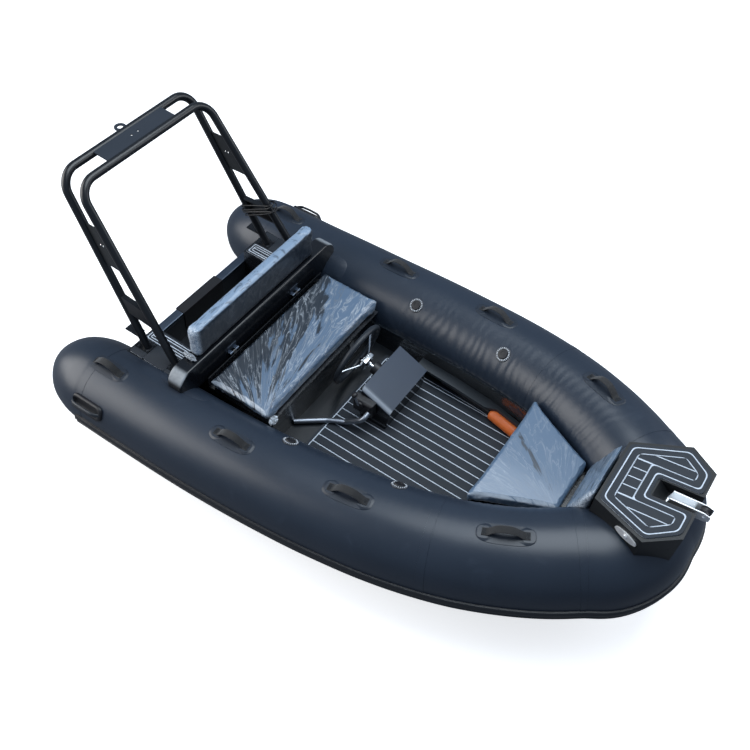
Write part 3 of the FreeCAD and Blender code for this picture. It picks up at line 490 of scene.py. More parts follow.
def dress_all(panels: Sequence[tuple[str, "Finish"]]) -> None:
    """Gives CAD nodes their finishes.

    Args:
        panels: pairs of a node and a finish.
    """
    for node, finish in panels:
        obj = frame["nodes"][node]
        obj.data.materials.clear()
        obj.data.materials.append(finish.material())
        LOG.info("%s: dressed as %s", node, finish.name)


# ---- shader writing ------------------------
Operand = Union["Value", float]


def operator(operation: str, reflected: bool = False) -> Callable[..., "Value"]:
    """A method of Value that adds one Math node.

    Args:
        operation: the node's operation.
        reflected: whether the value comes last, as in 1 - mask.

    Returns:
        The method.
    """
    def method(value: "Value", *others: Operand) -> "Value":
        """One Math node on the value and the others."""
        operands = (*others, value) if reflected else (value, *others)
        return value.graph.maths(operation, *operands)

    return method


class Value:
    """A number in a shader. Arithmetic on it adds Math nodes."""

    __add__ = __radd__ = operator("ADD")
    __sub__ = operator("SUBTRACT")
    __rsub__ = operator("SUBTRACT", reflected=True)
    __mul__ = operator("MULTIPLY")
    __truediv__ = operator("DIVIDE")
    __pow__ = operator("POWER")
    __abs__ = operator("ABSOLUTE")
    sin = operator("SINE")
    most = operator("MAXIMUM")

    def __init__(self, graph: "Graph", socket: Socket) -> None:
        """Wraps an output socket of a graph."""
        self.graph = graph
        self.socket = socket

    def __neg__(self) -> "Value":
        """Negative."""
        return self * -1.0

    def between(self, low: float, high: float) -> "Value":
        """Smooth step of this value.

        Args:
            low: where it gives 0.
            high: where it gives 1; it may be the lower of the two.

        Returns:
            A number from 0 to 1.
        """
        if low > high:
            return 1.0 - self.between(high, low)
        node = self.graph.node("ShaderNodeMapRange", {"interpolation_type": "SMOOTHSTEP"},
                               {"Value": self, "From Min": low, "From Max": high})
        return Value(self.graph, node.outputs["Result"])


class Graph:
    """The node tree of a material or a world, written by calls."""

    def __init__(self, owner: Union[Material, bpy.types.World]) -> None:
        """Starts with an empty tree.

        Args:
            owner: the material or world it belongs to.
        """
        owner.use_nodes = True
        self.owner = owner
        self.tree = owner.node_tree
        self.tree.nodes.clear()
        self.object = self.node("ShaderNodeTexCoord").outputs["Object"]

    def node(self, kind: str, settings: Optional[dict] = None,
             inputs: Optional[dict] = None) -> bpy.types.Node:
        """Adds any node.

        Args:
            kind: the node's type name.
            settings: its properties.
            inputs: values, links or Value objects by socket name or number.

        Returns:
            The node.
        """
        node = self.tree.nodes.new(kind)
        for key, value in (settings or {}).items():
            setattr(node, key, value)
        for key, value in (inputs or {}).items():
            self.feed(node.inputs[key], value)
        return node

    def feed(self, socket: Socket, value: object) -> None:
        """Links or sets one input.

        Args:
            socket: the input.
            value: a Value or output to link, or a plain value to set.
        """
        if isinstance(value, Value):
            self.tree.links.new(value.socket, socket)
        elif isinstance(value, Socket):
            self.tree.links.new(value, socket)
        elif isinstance(value, tuple) and len(value) == 3 and socket.type == "RGBA":
            socket.default_value = (*value, 1.0)
        else:
            socket.default_value = value

    def maths(self, operation: str, *operands: Operand) -> Value:
        """One Math node.

        Args:
            operation: its operation.
            operands: its inputs, in order.

        Returns:
            Its result.
        """
        node = self.node("ShaderNodeMath", {"operation": operation},
                         dict(enumerate(operands)))
        return Value(self, node.outputs[0])

    def split(self, vector: Socket) -> tuple[Value, Value, Value]:
        """The three parts of a vector."""
        node = self.node("ShaderNodeSeparateXYZ", inputs={0: vector})
        return tuple(Value(self, node.outputs[i]) for i in range(3))

    def scaled(self, scale: Triple) -> Socket:
        """Object coordinates times a factor for each axis."""
        inputs = {"Vector": self.object, "Scale": scale}
        return self.node("ShaderNodeMapping", inputs=inputs).outputs[0]

    def noise(self, scale: float, detail: float = 3.0, rough: float = 0.5, warp: float = 0.0,
              at: Optional[Socket] = None) -> Value:
        """Noise from 0 to 1.

        Args:
            scale: patches in a metre, about.
            detail: finer layers added.
            rough: strength of the finer layers.
            warp: how far the field is pulled about.
            at: coordinates, or the object's own.

        Returns:
            The noise.
        """
        node = self.node("ShaderNodeTexNoise", inputs={
            "Vector": at or self.object, "Scale": scale, "Detail": detail,
            "Roughness": rough, "Distortion": warp})
        return Value(self, node.outputs[0])

    def cells(self, scale: float) -> Value:
        """Distance to the nearest of scattered points."""
        node = self.node("ShaderNodeTexVoronoi", inputs={"Vector": self.object, "Scale": scale})
        return Value(self, node.outputs["Distance"])

    def mix(self, a: object, b: object, by: Operand) -> Socket:
        """Colour a where by is 0, colour b where it is 1."""
        node = self.node("ShaderNodeMix", {"data_type": "RGBA"}, {0: by, 6: a, 7: b})
        return node.outputs[2]

    def bump(self, height: Value, distance: float, strength: float) -> Socket:
        """Normal from a height field."""
        inputs = {"Height": height, "Distance": distance, "Strength": strength}
        return self.node("ShaderNodeBump", inputs=inputs).outputs[0]

    def normal(self) -> tuple[Value, Value, Value]:
        """The three parts of the surface's direction."""
        return self.split(self.node("ShaderNodeNewGeometry").outputs["Normal"])

    def finish(self, **sockets: object) -> Material:
        """Ends the tree with one Principled shader.

        Args:
            sockets: values of the shader's inputs, by name with "_" for a space.

        Returns:
            The material.
        """
        shader = self.node("ShaderNodeBsdfPrincipled")
        for key, value in sockets.items():
            self.feed(shader.inputs[key.replace("_", " ")], value)
        self.node("ShaderNodeOutputMaterial", inputs={"Surface": shader.outputs[0]})
        return self.owner


# ---- finishes ------------------------
@dataclass(frozen=True)
class Finish:
    """A surface finish: a name, the record slot it belongs to and its colour."""

    name: str
    slot: str
    colour: Triple

    def material(self) -> Material:
        """The finish's material, made once."""
        found = bpy.data.materials.get(self.name)
        return found or self.write(Graph(bpy.data.materials.new(self.name)))

    def write(self, g: Graph) -> Material:
        """Writes the nodes."""
        raise NotImplementedError

    def shade(self, factor: float) -> Triple:
        """The colour times a factor."""
        return tuple(min(1.0, c * factor) for c in self.colour)


@dataclass(frozen=True)
class CoatedFabric(Finish):
    """Polymer-coated tube fabric: satin, faint weave print-through, dust and rub marks."""

    rough: float = 0.44

    def write(self, g: Graph) -> Material:
        """Writes the nodes.

        Args:
            g: the material's empty tree.

        Returns:
            The material.
        """
        x, y, z = g.split(g.object)
        weave = ((x * 2600.0).sin() + (y * 2600.0).sin() + (z * 2600.0).sin()) / 3.0
        cloud = g.noise(2.6, 4.0, 0.55)
        grain = g.noise(260.0, 2.0, 0.6)
        rub = g.noise(9.0, 6.0, 0.7, 0.6).between(0.56, 0.78)
        colour = g.mix(self.shade(0.82), self.shade(1.2), cloud)
        colour = g.mix(colour, self.shade(1.7), rub * 0.35)
        rough = self.rough + (cloud - 0.5) * 0.10 + rub * 0.10
        height = weave * 0.10 + grain * 0.5
        return g.finish(Base_Color=colour, Roughness=rough, Specular_IOR_Level=0.5,
                        Normal=g.bump(height, 0.0006, 0.35))


@dataclass(frozen=True)
class PowderCoat(Finish):
    """Powder-coated metal: fine orange peel, slightly cloudy gloss, scuffs."""

    rough: float = 0.34

    def coat(self, g: Graph, pale: float, wear: float) -> tuple[Value, Value, Value, object]:
        """The paint's fields.

        Args:
            g: the tree.
            pale: how much lighter a scuff is.
            wear: how far a scuff shows.

        Returns:
            Peel, cloud, scuff and colour.
        """
        peel = g.noise(420.0, 2.0, 0.5)
        cloud = g.noise(5.0, 3.0, 0.5)
        scuff = g.noise(34.0, 6.0, 0.75, 1.2).between(0.60, 0.74)
        colour = g.mix(self.shade(0.86), self.shade(1.14), cloud)
        return peel, cloud, scuff, g.mix(colour, self.shade(pale), scuff * wear)

    def write(self, g: Graph) -> Material:
        """Writes the nodes.

        Args:
            g: the material's empty tree.

        Returns:
            The material.
        """
        peel, cloud, scuff, colour = self.coat(g, 1.8, 0.22)
        return g.finish(Base_Color=colour,
                        Roughness=self.rough + (cloud - 0.5) * 0.12 + scuff * 0.12,
                        Normal=g.bump(peel, 0.0004, 0.30))


@dataclass(frozen=True)
class FoldedPlate(PowderCoat):
    """Painted top plate whose folded edge carries a painted highlight, with gloss-black sides
    below it.
    """

    # colour of the painted highlight on the folded edge
    edge: Triple = (0.36, 0.40, 0.45)
    side: Triple = (0.004, 0.005, 0.007)

    def write(self, g: Graph) -> Material:
        """Writes the nodes.

        Args:
            g: the material's empty tree.

        Returns:
            The material.
        """
        _, across, rise = g.normal()
        peel, _, scuff, colour = self.coat(g, 1.6, 0.25)
        top = rise.between(0.20, 0.42)
        # fold: painted highlight on the rounded edge that faces starboard and up
        fold = rise.between(0.25, 0.60) * rise.between(0.93, 0.80) * across.between(0.0, -0.2)
        colour = g.mix(colour, self.edge, fold * 0.8)
        colour = g.mix(self.side, colour, top)
        return g.finish(Base_Color=colour, Roughness=0.16 + top * 0.16 + scuff * 0.1,
                        Normal=g.bump(peel, 0.0004, 0.25))


@dataclass(frozen=True)
class RolledPanel(Finish):
    """Gloss-black bulkhead whose rolled shoulders are satin and carry a painted pale sky
    reflection.
    """

    # colour of the painted sky reflection on the shoulders
    edge: Triple = (0.34, 0.37, 0.40)

    def write(self, g: Graph) -> Material:
        """Writes the nodes.

        Args:
            g: the material's empty tree.

        Returns:
            The material.
        """
        _, across, rise = g.normal()
        cloud = g.noise(26.0, 5.0, 0.6, 0.6)
        # band: painted reflection on the shoulders that face sideways and up
        band = abs(across).between(0.12, 0.45) * rise.between(0.20, 0.55)
        colour = g.mix(self.shade(0.8), self.shade(1.5), g.noise(3.0))
        colour = g.mix(colour, self.edge, band * (cloud * 0.7 + 0.3))
        return g.finish(Base_Color=colour, Roughness=0.20 + band * 0.22 + cloud * 0.04,
                        Normal=g.bump(cloud, 0.0004, 0.2))


@dataclass(frozen=True)
class WrappedGloss(Finish):
    """Gloss-black panel under thin protective film, with long slack folds in it."""

    rough: float = 0.16
    fold: float = 0.5

    def write(self, g: Graph) -> Material:
        """Writes the nodes.

        Args:
            g: the material's empty tree.

        Returns:
            The material.
        """
        slack = g.noise(7.0, 3.0, 0.55, 1.6, at=g.scaled((1, 1, 3)))
        ridge = 1.0 - abs(slack - 0.5) * 2.0
        fine = g.noise(60.0, 3.0, 0.6)
        height = (ridge ** 6.0) * self.fold
        colour = g.mix(self.shade(0.8), self.shade(1.5), g.noise(3.0))
        return g.finish(Base_Color=colour, Roughness=self.rough + fine * 0.10,
                        Coat_Weight=0.35, Coat_Roughness=0.08,
                        Normal=g.bump(height, 0.004, 0.6))


@dataclass(frozen=True)
class FilmedCover(Finish):
    """Dark cushion cover under clear packing film, its creases drawn from one gathered point."""

    pale: Triple = (0.080, 0.128, 0.200)
    # colour of the painted glints and highlights, and of the flecks in the tuft
    white: Triple = (0.62, 0.68, 0.75)
    share: float = 0.5
    gather: Pair = (0.0, -1.0)
    tuft: float = 0.0
    drawn: Triple = (11.0, 4.5, 9.0)
    slope: Triple = (0.0, 0.0, 0.0)
    # height of the upper rim that gets a painted pale highlight
    rim: float = 10.0
    # strength of the creases: bump, painted glints and painted crease shade
    crumpled: float = 0.6
    coat: float = 0.8

    def write(self, g: Graph) -> Material:
        """Writes the nodes.

        The noise runs on the angle about the gathered point and the distance from it, so its
        patches become a fan. slope is (x, gain forward, gain to port): patches grow more
        likely that way. Painted white highlights fleck the film inside the tuft's radius and
        whiten starboard rims; crease lines get painted glints and painted dark shade, and the
        upper rim below height rim a painted pale highlight.

        Args:
            g: the material's empty tree.

        Returns:
            The material.
        """
        x, y, z = g.split(g.object)
        ahead, across = x - self.gather[0], y - self.gather[1]
        turn = g.maths("ARCTAN2", ahead, across)
        reach = (ahead * ahead + across * across) ** 0.5
        fan = g.node("ShaderNodeCombineXYZ", inputs={
            0: turn * self.drawn[0], 1: reach * self.drawn[1], 2: z * self.drawn[2]})
        at = fan.outputs[0]
        wide = g.noise(1.0, 3.0, 0.55, 0.5, at=at)
        fine = g.noise(3.0, 4.0, 0.6, 0.7, at=at)
        hair = g.noise(140.0, 3.0, 0.7, 1.0)
        _, side, rise = g.normal()
        crumple = 1.0 - abs(wide - 0.5) * 2.0
        tight = 1.0 - abs(fine - 0.5) * 2.0
        edge = 0.66 - self.share * 0.34
        level = wide * 0.72 + fine * 0.28 + (x - self.slope[0]) * self.slope[1]
        patch = (level + y * self.slope[2]).between(edge - 0.012, edge + 0.018)
        # top: painted pale highlight along the upper rim, just below height rim
        top = z.between(self.rim - 0.012, self.rim - 0.004)
        patch = patch.most(top * (fine.between(0.36, 0.50) * 0.6 + 0.4))
        # painted white glints along the crease lines
        painted_glint = (tight ** 26.0) * (crumple ** 4.0)
        # shine: painted white highlight on rims that face starboard and up
        shine = (-side).between(0.25, 0.65) * rise.between(0.15, 0.5) * fine.between(0.34, 0.5)
        bunch = reach.between(self.tuft + 0.001, self.tuft * 0.55)
        colour = g.mix(self.shade(0.8), self.shade(1.3), fine)
        colour = g.mix(colour, self.pale, patch)
        # painted dark shade in the crease lines
        colour = g.mix(colour, self.shade(0.3), (tight ** 26.0) * 0.6 * self.crumpled)
        colour = g.mix(colour, self.white, painted_glint * 0.7 * self.crumpled)
        colour = g.mix(colour, self.white, shine * 0.55)
        # bunch: inside the tuft's radius the film is flecked with painted white highlights
        colour = g.mix(colour, g.mix(self.pale, self.white, hair.between(0.38, 0.58)), bunch)
        height = (crumple ** 5.0) * 0.5 + (tight ** 5.0) * 0.4 + hair * (bunch * 0.8 + 0.05)
        return g.finish(Base_Color=colour, Roughness=0.30 + hair * 0.14,
                        Coat_Weight=self.coat, Coat_Roughness=0.10, Coat_IOR=1.42,
                        Normal=g.bump(height * (bunch + self.crumpled), 0.004, 0.6))


@dataclass(frozen=True)
class BunchedFilm(Finish):
    """Clear film gathered into a bunch: white highlights over dark hollows."""

    def write(self, g: Graph) -> Material:
        """Writes the nodes.

        Args:
            g: the material's empty tree.

        Returns:
            The material.
        """
        fine = g.noise(70.0, 4.0, 0.7, 1.4)
        colour = g.mix(self.shade(0.14), self.shade(1.0), fine.between(0.40, 0.56))
        return g.finish(Base_Color=colour, Roughness=0.24 + fine * 0.2, Coat_Weight=0.6,
                        Coat_Roughness=0.10, Normal=g.bump(fine, 0.006, 0.8))


@dataclass(frozen=True)
class DeckFoam(Finish):
    """Brushed closed-cell foam: fine grain drawn fore and aft."""

    def write(self, g: Graph) -> Material:
        """Writes the nodes.

        Args:
            g: the material's empty tree.

        Returns:
            The material.
        """
        drawn = g.noise(160.0, 4.0, 0.7, at=g.scaled((0.18, 1.0, 1.0)))
        pores = g.cells(900.0)
        colour = g.mix(self.shade(0.7), self.shade(1.35), drawn)
        return g.finish(Base_Color=colour, Roughness=0.62 + drawn * 0.16,
                        Normal=g.bump(drawn * 0.6 + pores * 0.4, 0.0008, 0.5))


@dataclass(frozen=True)
class BareMetal(Finish):
    """Bare or polished metal with brushing, smears and light scratches."""

    rough: float = 0.22
    brush: Triple = (1.0, 1.0, 0.05)

    def write(self, g: Graph) -> Material:
        """Writes the nodes.

        Args:
            g: the material's empty tree.

        Returns:
            The material.
        """
        lines = g.noise(700.0, 3.0, 0.6, at=g.scaled(self.brush))
        smear = g.noise(18.0, 4.0, 0.6, 0.8)
        colour = g.mix(self.shade(0.88), self.shade(1.08), smear)
        return g.finish(Base_Color=colour, Metallic=1.0,
                        Roughness=self.rough + (smear - 0.4) * 0.16 + lines * 0.05,
                        Normal=g.bump(lines, 0.0002, 0.25))


@dataclass(frozen=True)
class Moulded(Finish):
    """Moulded plastic or rubber: fine spark-eroded grain and handling shine."""

    rough: float = 0.45
    grain: float = 900.0

    def write(self, g: Graph) -> Material:
        """Writes the nodes.

        Args:
            g: the material's empty tree.

        Returns:
            The material.
        """
        grit = g.noise(self.grain, 2.0, 0.6)
        worn = g.noise(22.0, 4.0, 0.6, 0.5)
        colour = g.mix(self.shade(0.85), self.shade(1.2), worn)
        return g.finish(Base_Color=colour, Roughness=self.rough + (worn - 0.5) * 0.18,
                        Normal=g.bump(grit, 0.0003, 0.45))


@dataclass(frozen=True)
class Webbing(Finish):
    """Woven strap: ribs across and along, dull yarn."""

    def write(self, g: Graph) -> Material:
        """Writes the nodes.

        Args:
            g: the material's empty tree.

        Returns:
            The material.
        """
        x, y, z = g.split(g.object)
        ribs = (x * 1500.0).sin() * ((y + z) * 1500.0).sin()
        fuzz = g.noise(600.0, 3.0, 0.7)
        colour = g.mix(self.shade(0.6), self.shade(1.7), ribs * 0.35 + fuzz * 0.6)
        return g.finish(Base_Color=colour, Roughness=0.75, Sheen_Weight=0.2,
                        Normal=g.bump(ribs * 0.6 + fuzz * 0.4, 0.0008, 0.7))


TUBE = CoatedFabric("coated tube fabric", "tube_fabric", (0.0155, 0.0235, 0.038), rough=0.36)
PATCH = CoatedFabric("fabric patch", "tube_fabric", (0.013, 0.019, 0.030), rough=0.40)
STRAKE = Moulded("strake rubber", "strake_rubber", (0.010, 0.011, 0.014), rough=0.42)
STRAP = Webbing("strap webbing", "strap_webbing", (0.004, 0.004, 0.005))
HULL = PowderCoat("hull paint", "hull_paint", (0.012, 0.014, 0.018), rough=0.30)
DECK = PowderCoat("deck paint", "deck_paint", (0.006, 0.008, 0.011), rough=0.30)
SHELF = PowderCoat("shelf paint", "deck_paint", (0.023, 0.029, 0.036), rough=0.45)
# console paint, with a painted highlight on its folded edge
CONSOLE = FoldedPlate("console paint", "console_paint", (0.022, 0.036, 0.062))
ARCH = PowderCoat("arch paint", "arch_paint", (0.005, 0.006, 0.008), rough=0.30)
PLATE = PowderCoat("arch plate paint", "arch_paint", (0.018, 0.024, 0.034), rough=0.45)
SIDE_PLATE = PowderCoat("side plate paint", "arch_paint", (0.009, 0.011, 0.013), rough=0.45)
FLANK = PowderCoat("bow box paint", "black_gloss", (0.004, 0.005, 0.006), rough=0.50)
GLOSS = WrappedGloss("wrapped gloss panel", "black_gloss", (0.004, 0.006, 0.009))
PANEL = WrappedGloss("plain gloss panel", "black_gloss", (0.004, 0.005, 0.007), 0.22, 0.1)
# bulkhead panel, with a painted sky reflection on its rolled shoulders
BULKHEAD = RolledPanel("bulkhead panel", "black_gloss", (0.004, 0.005, 0.007))
DARK_COVER = (0.014, 0.022, 0.034)
SEAT_FILM = FilmedCover("seat film", "cushion_cover", DARK_COVER, share=0.50,
                        gather=(-0.330, -0.540), tuft=0.135, drawn=(7.0, 2.0, 6.0),
                        slope=(-0.53, 1.0, 0.22), pale=(0.095, 0.150, 0.230), crumpled=0.9)
# rim: the backrest's upper rim gets a painted pale highlight
BACK_FILM = FilmedCover("backrest film", "cushion_cover", (0.008, 0.013, 0.021), share=-0.5,
                        rim=0.673, gather=(-0.790, -0.470), tuft=0.075,
                        pale=(0.20, 0.28, 0.39), drawn=(5.0, 7.0, 5.0), crumpled=0.12,
                        coat=0.45)
BOW_FILM = FilmedCover("bow seat film", "cushion_cover", (0.020, 0.032, 0.050),
                       pale=(0.078, 0.130, 0.205), share=0.90, gather=(0.985, -0.180),
                       drawn=(3.0, 2.2, 6.0), crumpled=0.30)
BOLSTER_FILM = FilmedCover("bow bolster film", "cushion_cover", (0.034, 0.050, 0.073),
                           pale=(0.120, 0.175, 0.250), share=0.72, gather=(1.040, -0.170),
                           tuft=0.055, drawn=(3.0, 3.0, 30.0), crumpled=0.8)
BUNCH = BunchedFilm("bunched film", "cushion_cover", (0.66, 0.72, 0.79))
FOAM = DeckFoam("deck foam", "foam_deck", (0.011, 0.016, 0.024))
GROOVE = DeckFoam("deck foam core", "foam_deck", (0.52, 0.58, 0.66))
ALLOY = BareMetal("satin aluminium", "bare_aluminium", (0.34, 0.37, 0.42), rough=0.40)
CAP = BareMetal("brushed cap", "bare_aluminium", (0.10, 0.125, 0.165), rough=0.36)
STEEL = BareMetal("polished stainless", "stainless", (0.86, 0.88, 0.90), rough=0.16)
BRIGHT = BareMetal("satin stainless", "stainless", (0.90, 0.92, 0.95), rough=0.38)
SATIN = BareMetal("bead-blasted stainless", "stainless", (0.93, 0.94, 0.95), rough=0.58)
BLACK = Moulded("black moulding", "black_plastic", (0.006, 0.006, 0.008))
ORANGE = Moulded("orange moulding", "orange_plastic", (0.62, 0.135, 0.025), rough=0.42)
VALVE = Moulded("valve moulding", "valve_plastic", (0.030, 0.034, 0.042), rough=0.40)
CABLE = Moulded("cable jacket", "cable_rubber", (0.006, 0.006, 0.007), rough=0.36)
GRIP = Moulded("wheel grip", "strake_rubber", (0.014, 0.018, 0.024), rough=0.45)
MARK = Moulded("pale marks", "valve_plastic", (0.60, 0.63, 0.67), rough=0.35)


# ---- air tube line ------------------------
@dataclass
class TubeLine:
    """Centre line of the air tube from the port stern round the bow to starboard.

    A place on the skin is (s, angle, lift): distance along the line, degrees up from the
    outboard side, and height above the skin.
    """

    radius: float = 0.216
    port: Triples = (
        (-1.200, 0.652, 0.184), (-0.950, 0.652, 0.193), (-0.685, 0.652, 0.207),
        (-0.460, 0.648, 0.222), (-0.250, 0.640, 0.241), (0.011, 0.623, 0.268),
        (0.185, 0.605, 0.289), (0.359, 0.581, 0.311), (0.533, 0.546, 0.336),
        (0.707, 0.497, 0.363), (0.881, 0.426, 0.392), (1.010, 0.358, 0.414),
        (1.120, 0.286, 0.435), (1.208, 0.226, 0.448), (1.272, 0.108, 0.458),
    )
    middle: Triple = (1.275, 0.0, 0.459)
    bow_joint_x: float = 1.120

    def __post_init__(self) -> None:
        """Works out the dense line and its axes."""
        port = np.array(self.port)
        stations = np.vstack([port, [self.middle], port[::-1] * [1, -1, 1]])
        self.path = through(stations, 1201)
        _, self.side, self.rise = axes_along(self.path)
        self.run = distances(self.path)
        self.length = float(self.run[-1])
        self.joint = self.at_x(self.bow_joint_x)

    def at_x(self, x: float) -> float:
        """Distance along the line where the port side reaches x."""
        half = len(self.path) // 2
        return float(np.interp(x, self.path[:half, 0], self.run[:half]))

    def on(self, s: Array, degrees: Array, lift: Array) -> Array:
        """Points on the skin: centre + (radius + lift) (cos side + sin rise).

        Args:
            s: distances along the line.
            degrees: angles up from the outboard side.
            lift: heights above the skin.

        Returns:
            Points, in the shape the three make together.
        """
        s, degrees, lift = np.broadcast_arrays(s, degrees, lift)
        pick = [np.stack([np.interp(s, self.run, f[:, i]) for i in range(3)], -1)
                for f in (self.path, self.side, self.rise)]
        a = np.radians(degrees)[..., None]
        out = np.cos(a) * unit(pick[1]) + np.sin(a) * unit(pick[2])
        return pick[0] + (self.radius + lift[..., None]) * out

    def skin(self, x: float, degrees: float) -> tuple[Array, Array]:
        """Place on the port skin, and the direction out of it.

        Args:
            x: where it is.
            degrees: its angle.

        Returns:
            The place, and a unit vector.
        """
        s = self.at_x(x)
        here = self.on(s, degrees, 0.0)
        return here, unit(self.on(s, degrees, 1.0) - here)

    def bent(self, x: float, degrees: float, local: Array) -> Array:
        """Local points (along, across, up) wrapped onto the skin.

        Args:
            x: where the place they lie about is, on the port side.
            degrees: its angle.
            local: the points.

        Returns:
            Points of the same shape.
        """
        s = self.at_x(x) + local[..., 0]
        return self.on(s, degrees + np.degrees(local[..., 1] / self.radius), local[..., 2])


# ---- air tubes and their fittings ------------------------
@dataclass
class AirTubes:
    """Three air chambers with stern cones, seam tapes and the rubbing strake."""

    line: TubeLine
    cone: float = 0.312
    cone_profile: Pairs = (
        (1.0, 0.02), (0.985, 0.16), (0.97, 0.28), (0.86, 0.52), (0.62, 0.80), (0.33, 0.95),
        (0.12, 0.993),
    )
    rows_per_metre: float = 230.0
    columns: int = 80
    tape_width: float = 0.034
    tape_lift: float = 0.0011
    tape_x: float = 0.60
    stern_tape: float = 0.018
    crease_pitch: float = 0.047
    crease_height: float = 0.0013
    crease_side: Pair = (160.0, 42.0)  # middle of the creased side and its half width, degrees
    crease_start: Pair = (0.30, 0.25)  # distance from the bow, and run over which it grows
    crease_end: Pair = (1.55, 0.45)
    slack_height: float = 0.0008
    cinch: Pair = (0.012, 0.0008)  # how far a joint draws the skin in: length and depth
    strake_tilt: float = -8.0
    strake: Pairs = (
        (-0.003, -0.032), (0.005, -0.032), (0.011, -0.027), (0.0145, -0.017), (0.0145, -0.008),
        (0.0105, -0.005), (0.0105, 0.005), (0.0145, 0.008), (0.0145, 0.017), (0.011, 0.027),
        (0.005, 0.032), (-0.003, 0.032),
    )

    def slack(self, s: Array, degrees: Array) -> Array:
        """Height of the fabric's wrinkles: short waves on the inner side where the tube bends.

        A sine along the tube with wandering phase, times a bump on the inboard side, times
        a window along the length that opens where the line curves to the bow.

        Args:
            s: distances along the line.
            degrees: angles up from the outboard side.

        Returns:
            Heights above the skin.
        """
        p = self.line.on(s, degrees, 0.0)
        wander = ripple(p, 0.22, 3) * 2.6
        wave = (np.sin(s * 2 * math.pi / self.crease_pitch + wander)
                * (0.5 + 0.5 * ripple(p, 0.12, 5)))
        inner = np.exp(-((degrees - self.crease_side[0]) / self.crease_side[1]) ** 2)
        grow, fade = (ease((np.abs(s - self.line.length / 2) - start) / run)
                      for start, run in (self.crease_start, self.crease_end))
        soft = ripple(p, 0.55, 11) * self.slack_height
        return wave * inner * grow * (1 - fade) * self.crease_height + soft

    def chamber(self, start: float, end: float) -> Array:
        """Grid of one chamber, drawn in a little at its ends.

        Args:
            start: where it starts, along the line.
            end: where it ends.

        Returns:
            Rows of points round the tube.
        """
        s = np.linspace(start, end, int((end - start) * self.rows_per_metre))[:, None]
        a = np.linspace(0, 360, self.columns, endpoint=False)[None, :]
        pull = np.exp(-np.minimum(s - start, end - s) / self.cinch[0]) * self.cinch[1]
        return self.line.on(s, a, self.slack(s, a) - pull)

    def stern_rows(self) -> Array:
        """Rows of the port stern cone: rings of the profile set back along the tangent.

        Returns:
            Rows of points round the cone, from its tip.
        """
        a = np.linspace(0, 360, self.columns, endpoint=False)
        knots = np.array(self.cone_profile + ((0.0, 1.0),))
        fine = through(np.column_stack([knots, np.zeros(len(knots))]), 44)[:-1]
        base = self.line.on(0.0, a, 0.0)
        centre = self.line.path[0]
        back = -unit(self.line.path[1] - centre)
        return (centre + fine[:, :1, None] * self.cone * back
                + fine[:, 1:2, None] * (base - centre)[None])

    def build(self) -> None:
        """Makes the chambers, tapes and strake."""
        side = np.concatenate([self.stern_rows(), self.chamber(0.0, self.line.joint)])
        bow = self.chamber(self.line.joint, self.line.length - self.line.joint)
        for name, p in (("port", side), ("starboard", side * MIRROR), ("bow", bow)):
            Shell().grid(p).piece(f"air_tube_{name}", TUBE, instead=[f"tube_{name}"], smooth=60)
        self.tapes()
        self.rub_strake()

    def tapes(self) -> None:
        """Seam tapes: thin bands round the tube at chamber joints and at the stern cones."""
        shell = Shell()
        a = np.linspace(0, 360, 96, endpoint=False)[None, :]
        for s in (self.stern_tape, self.line.at_x(self.tape_x), self.line.joint):
            w = self.tape_width / 2
            off = np.array([-w - 0.001, -w, w, w + 0.001, 0.6 * w, -0.6 * w])[:, None]
            lift = np.array([-0.002, self.tape_lift, self.tape_lift, -0.002, -0.004, -0.004])
            lift = lift[:, None] + self.slack(s + off, a)
            shell.grid(self.line.on(s + off, a, lift), ring=True)
        shell.mirrored().piece("seam_tapes", TUBE, smooth=30)

    def rub_strake(self) -> None:
        """Rubber strake carried round the tube, a little below its widest line."""
        tilt = math.radians(self.strake_tilt)
        r, h = (np.array(self.strake) + [self.line.radius, 0.0]).T
        profile = np.stack([r * math.cos(tilt) - h * math.sin(tilt),
                            r * math.sin(tilt) + h * math.cos(tilt)], axis=1)
        Shell().grid(carried(self.line.path[::3], profile)).piece(
            "rubbing_strake", STRAKE, instead=["rub_strake"], smooth=35)


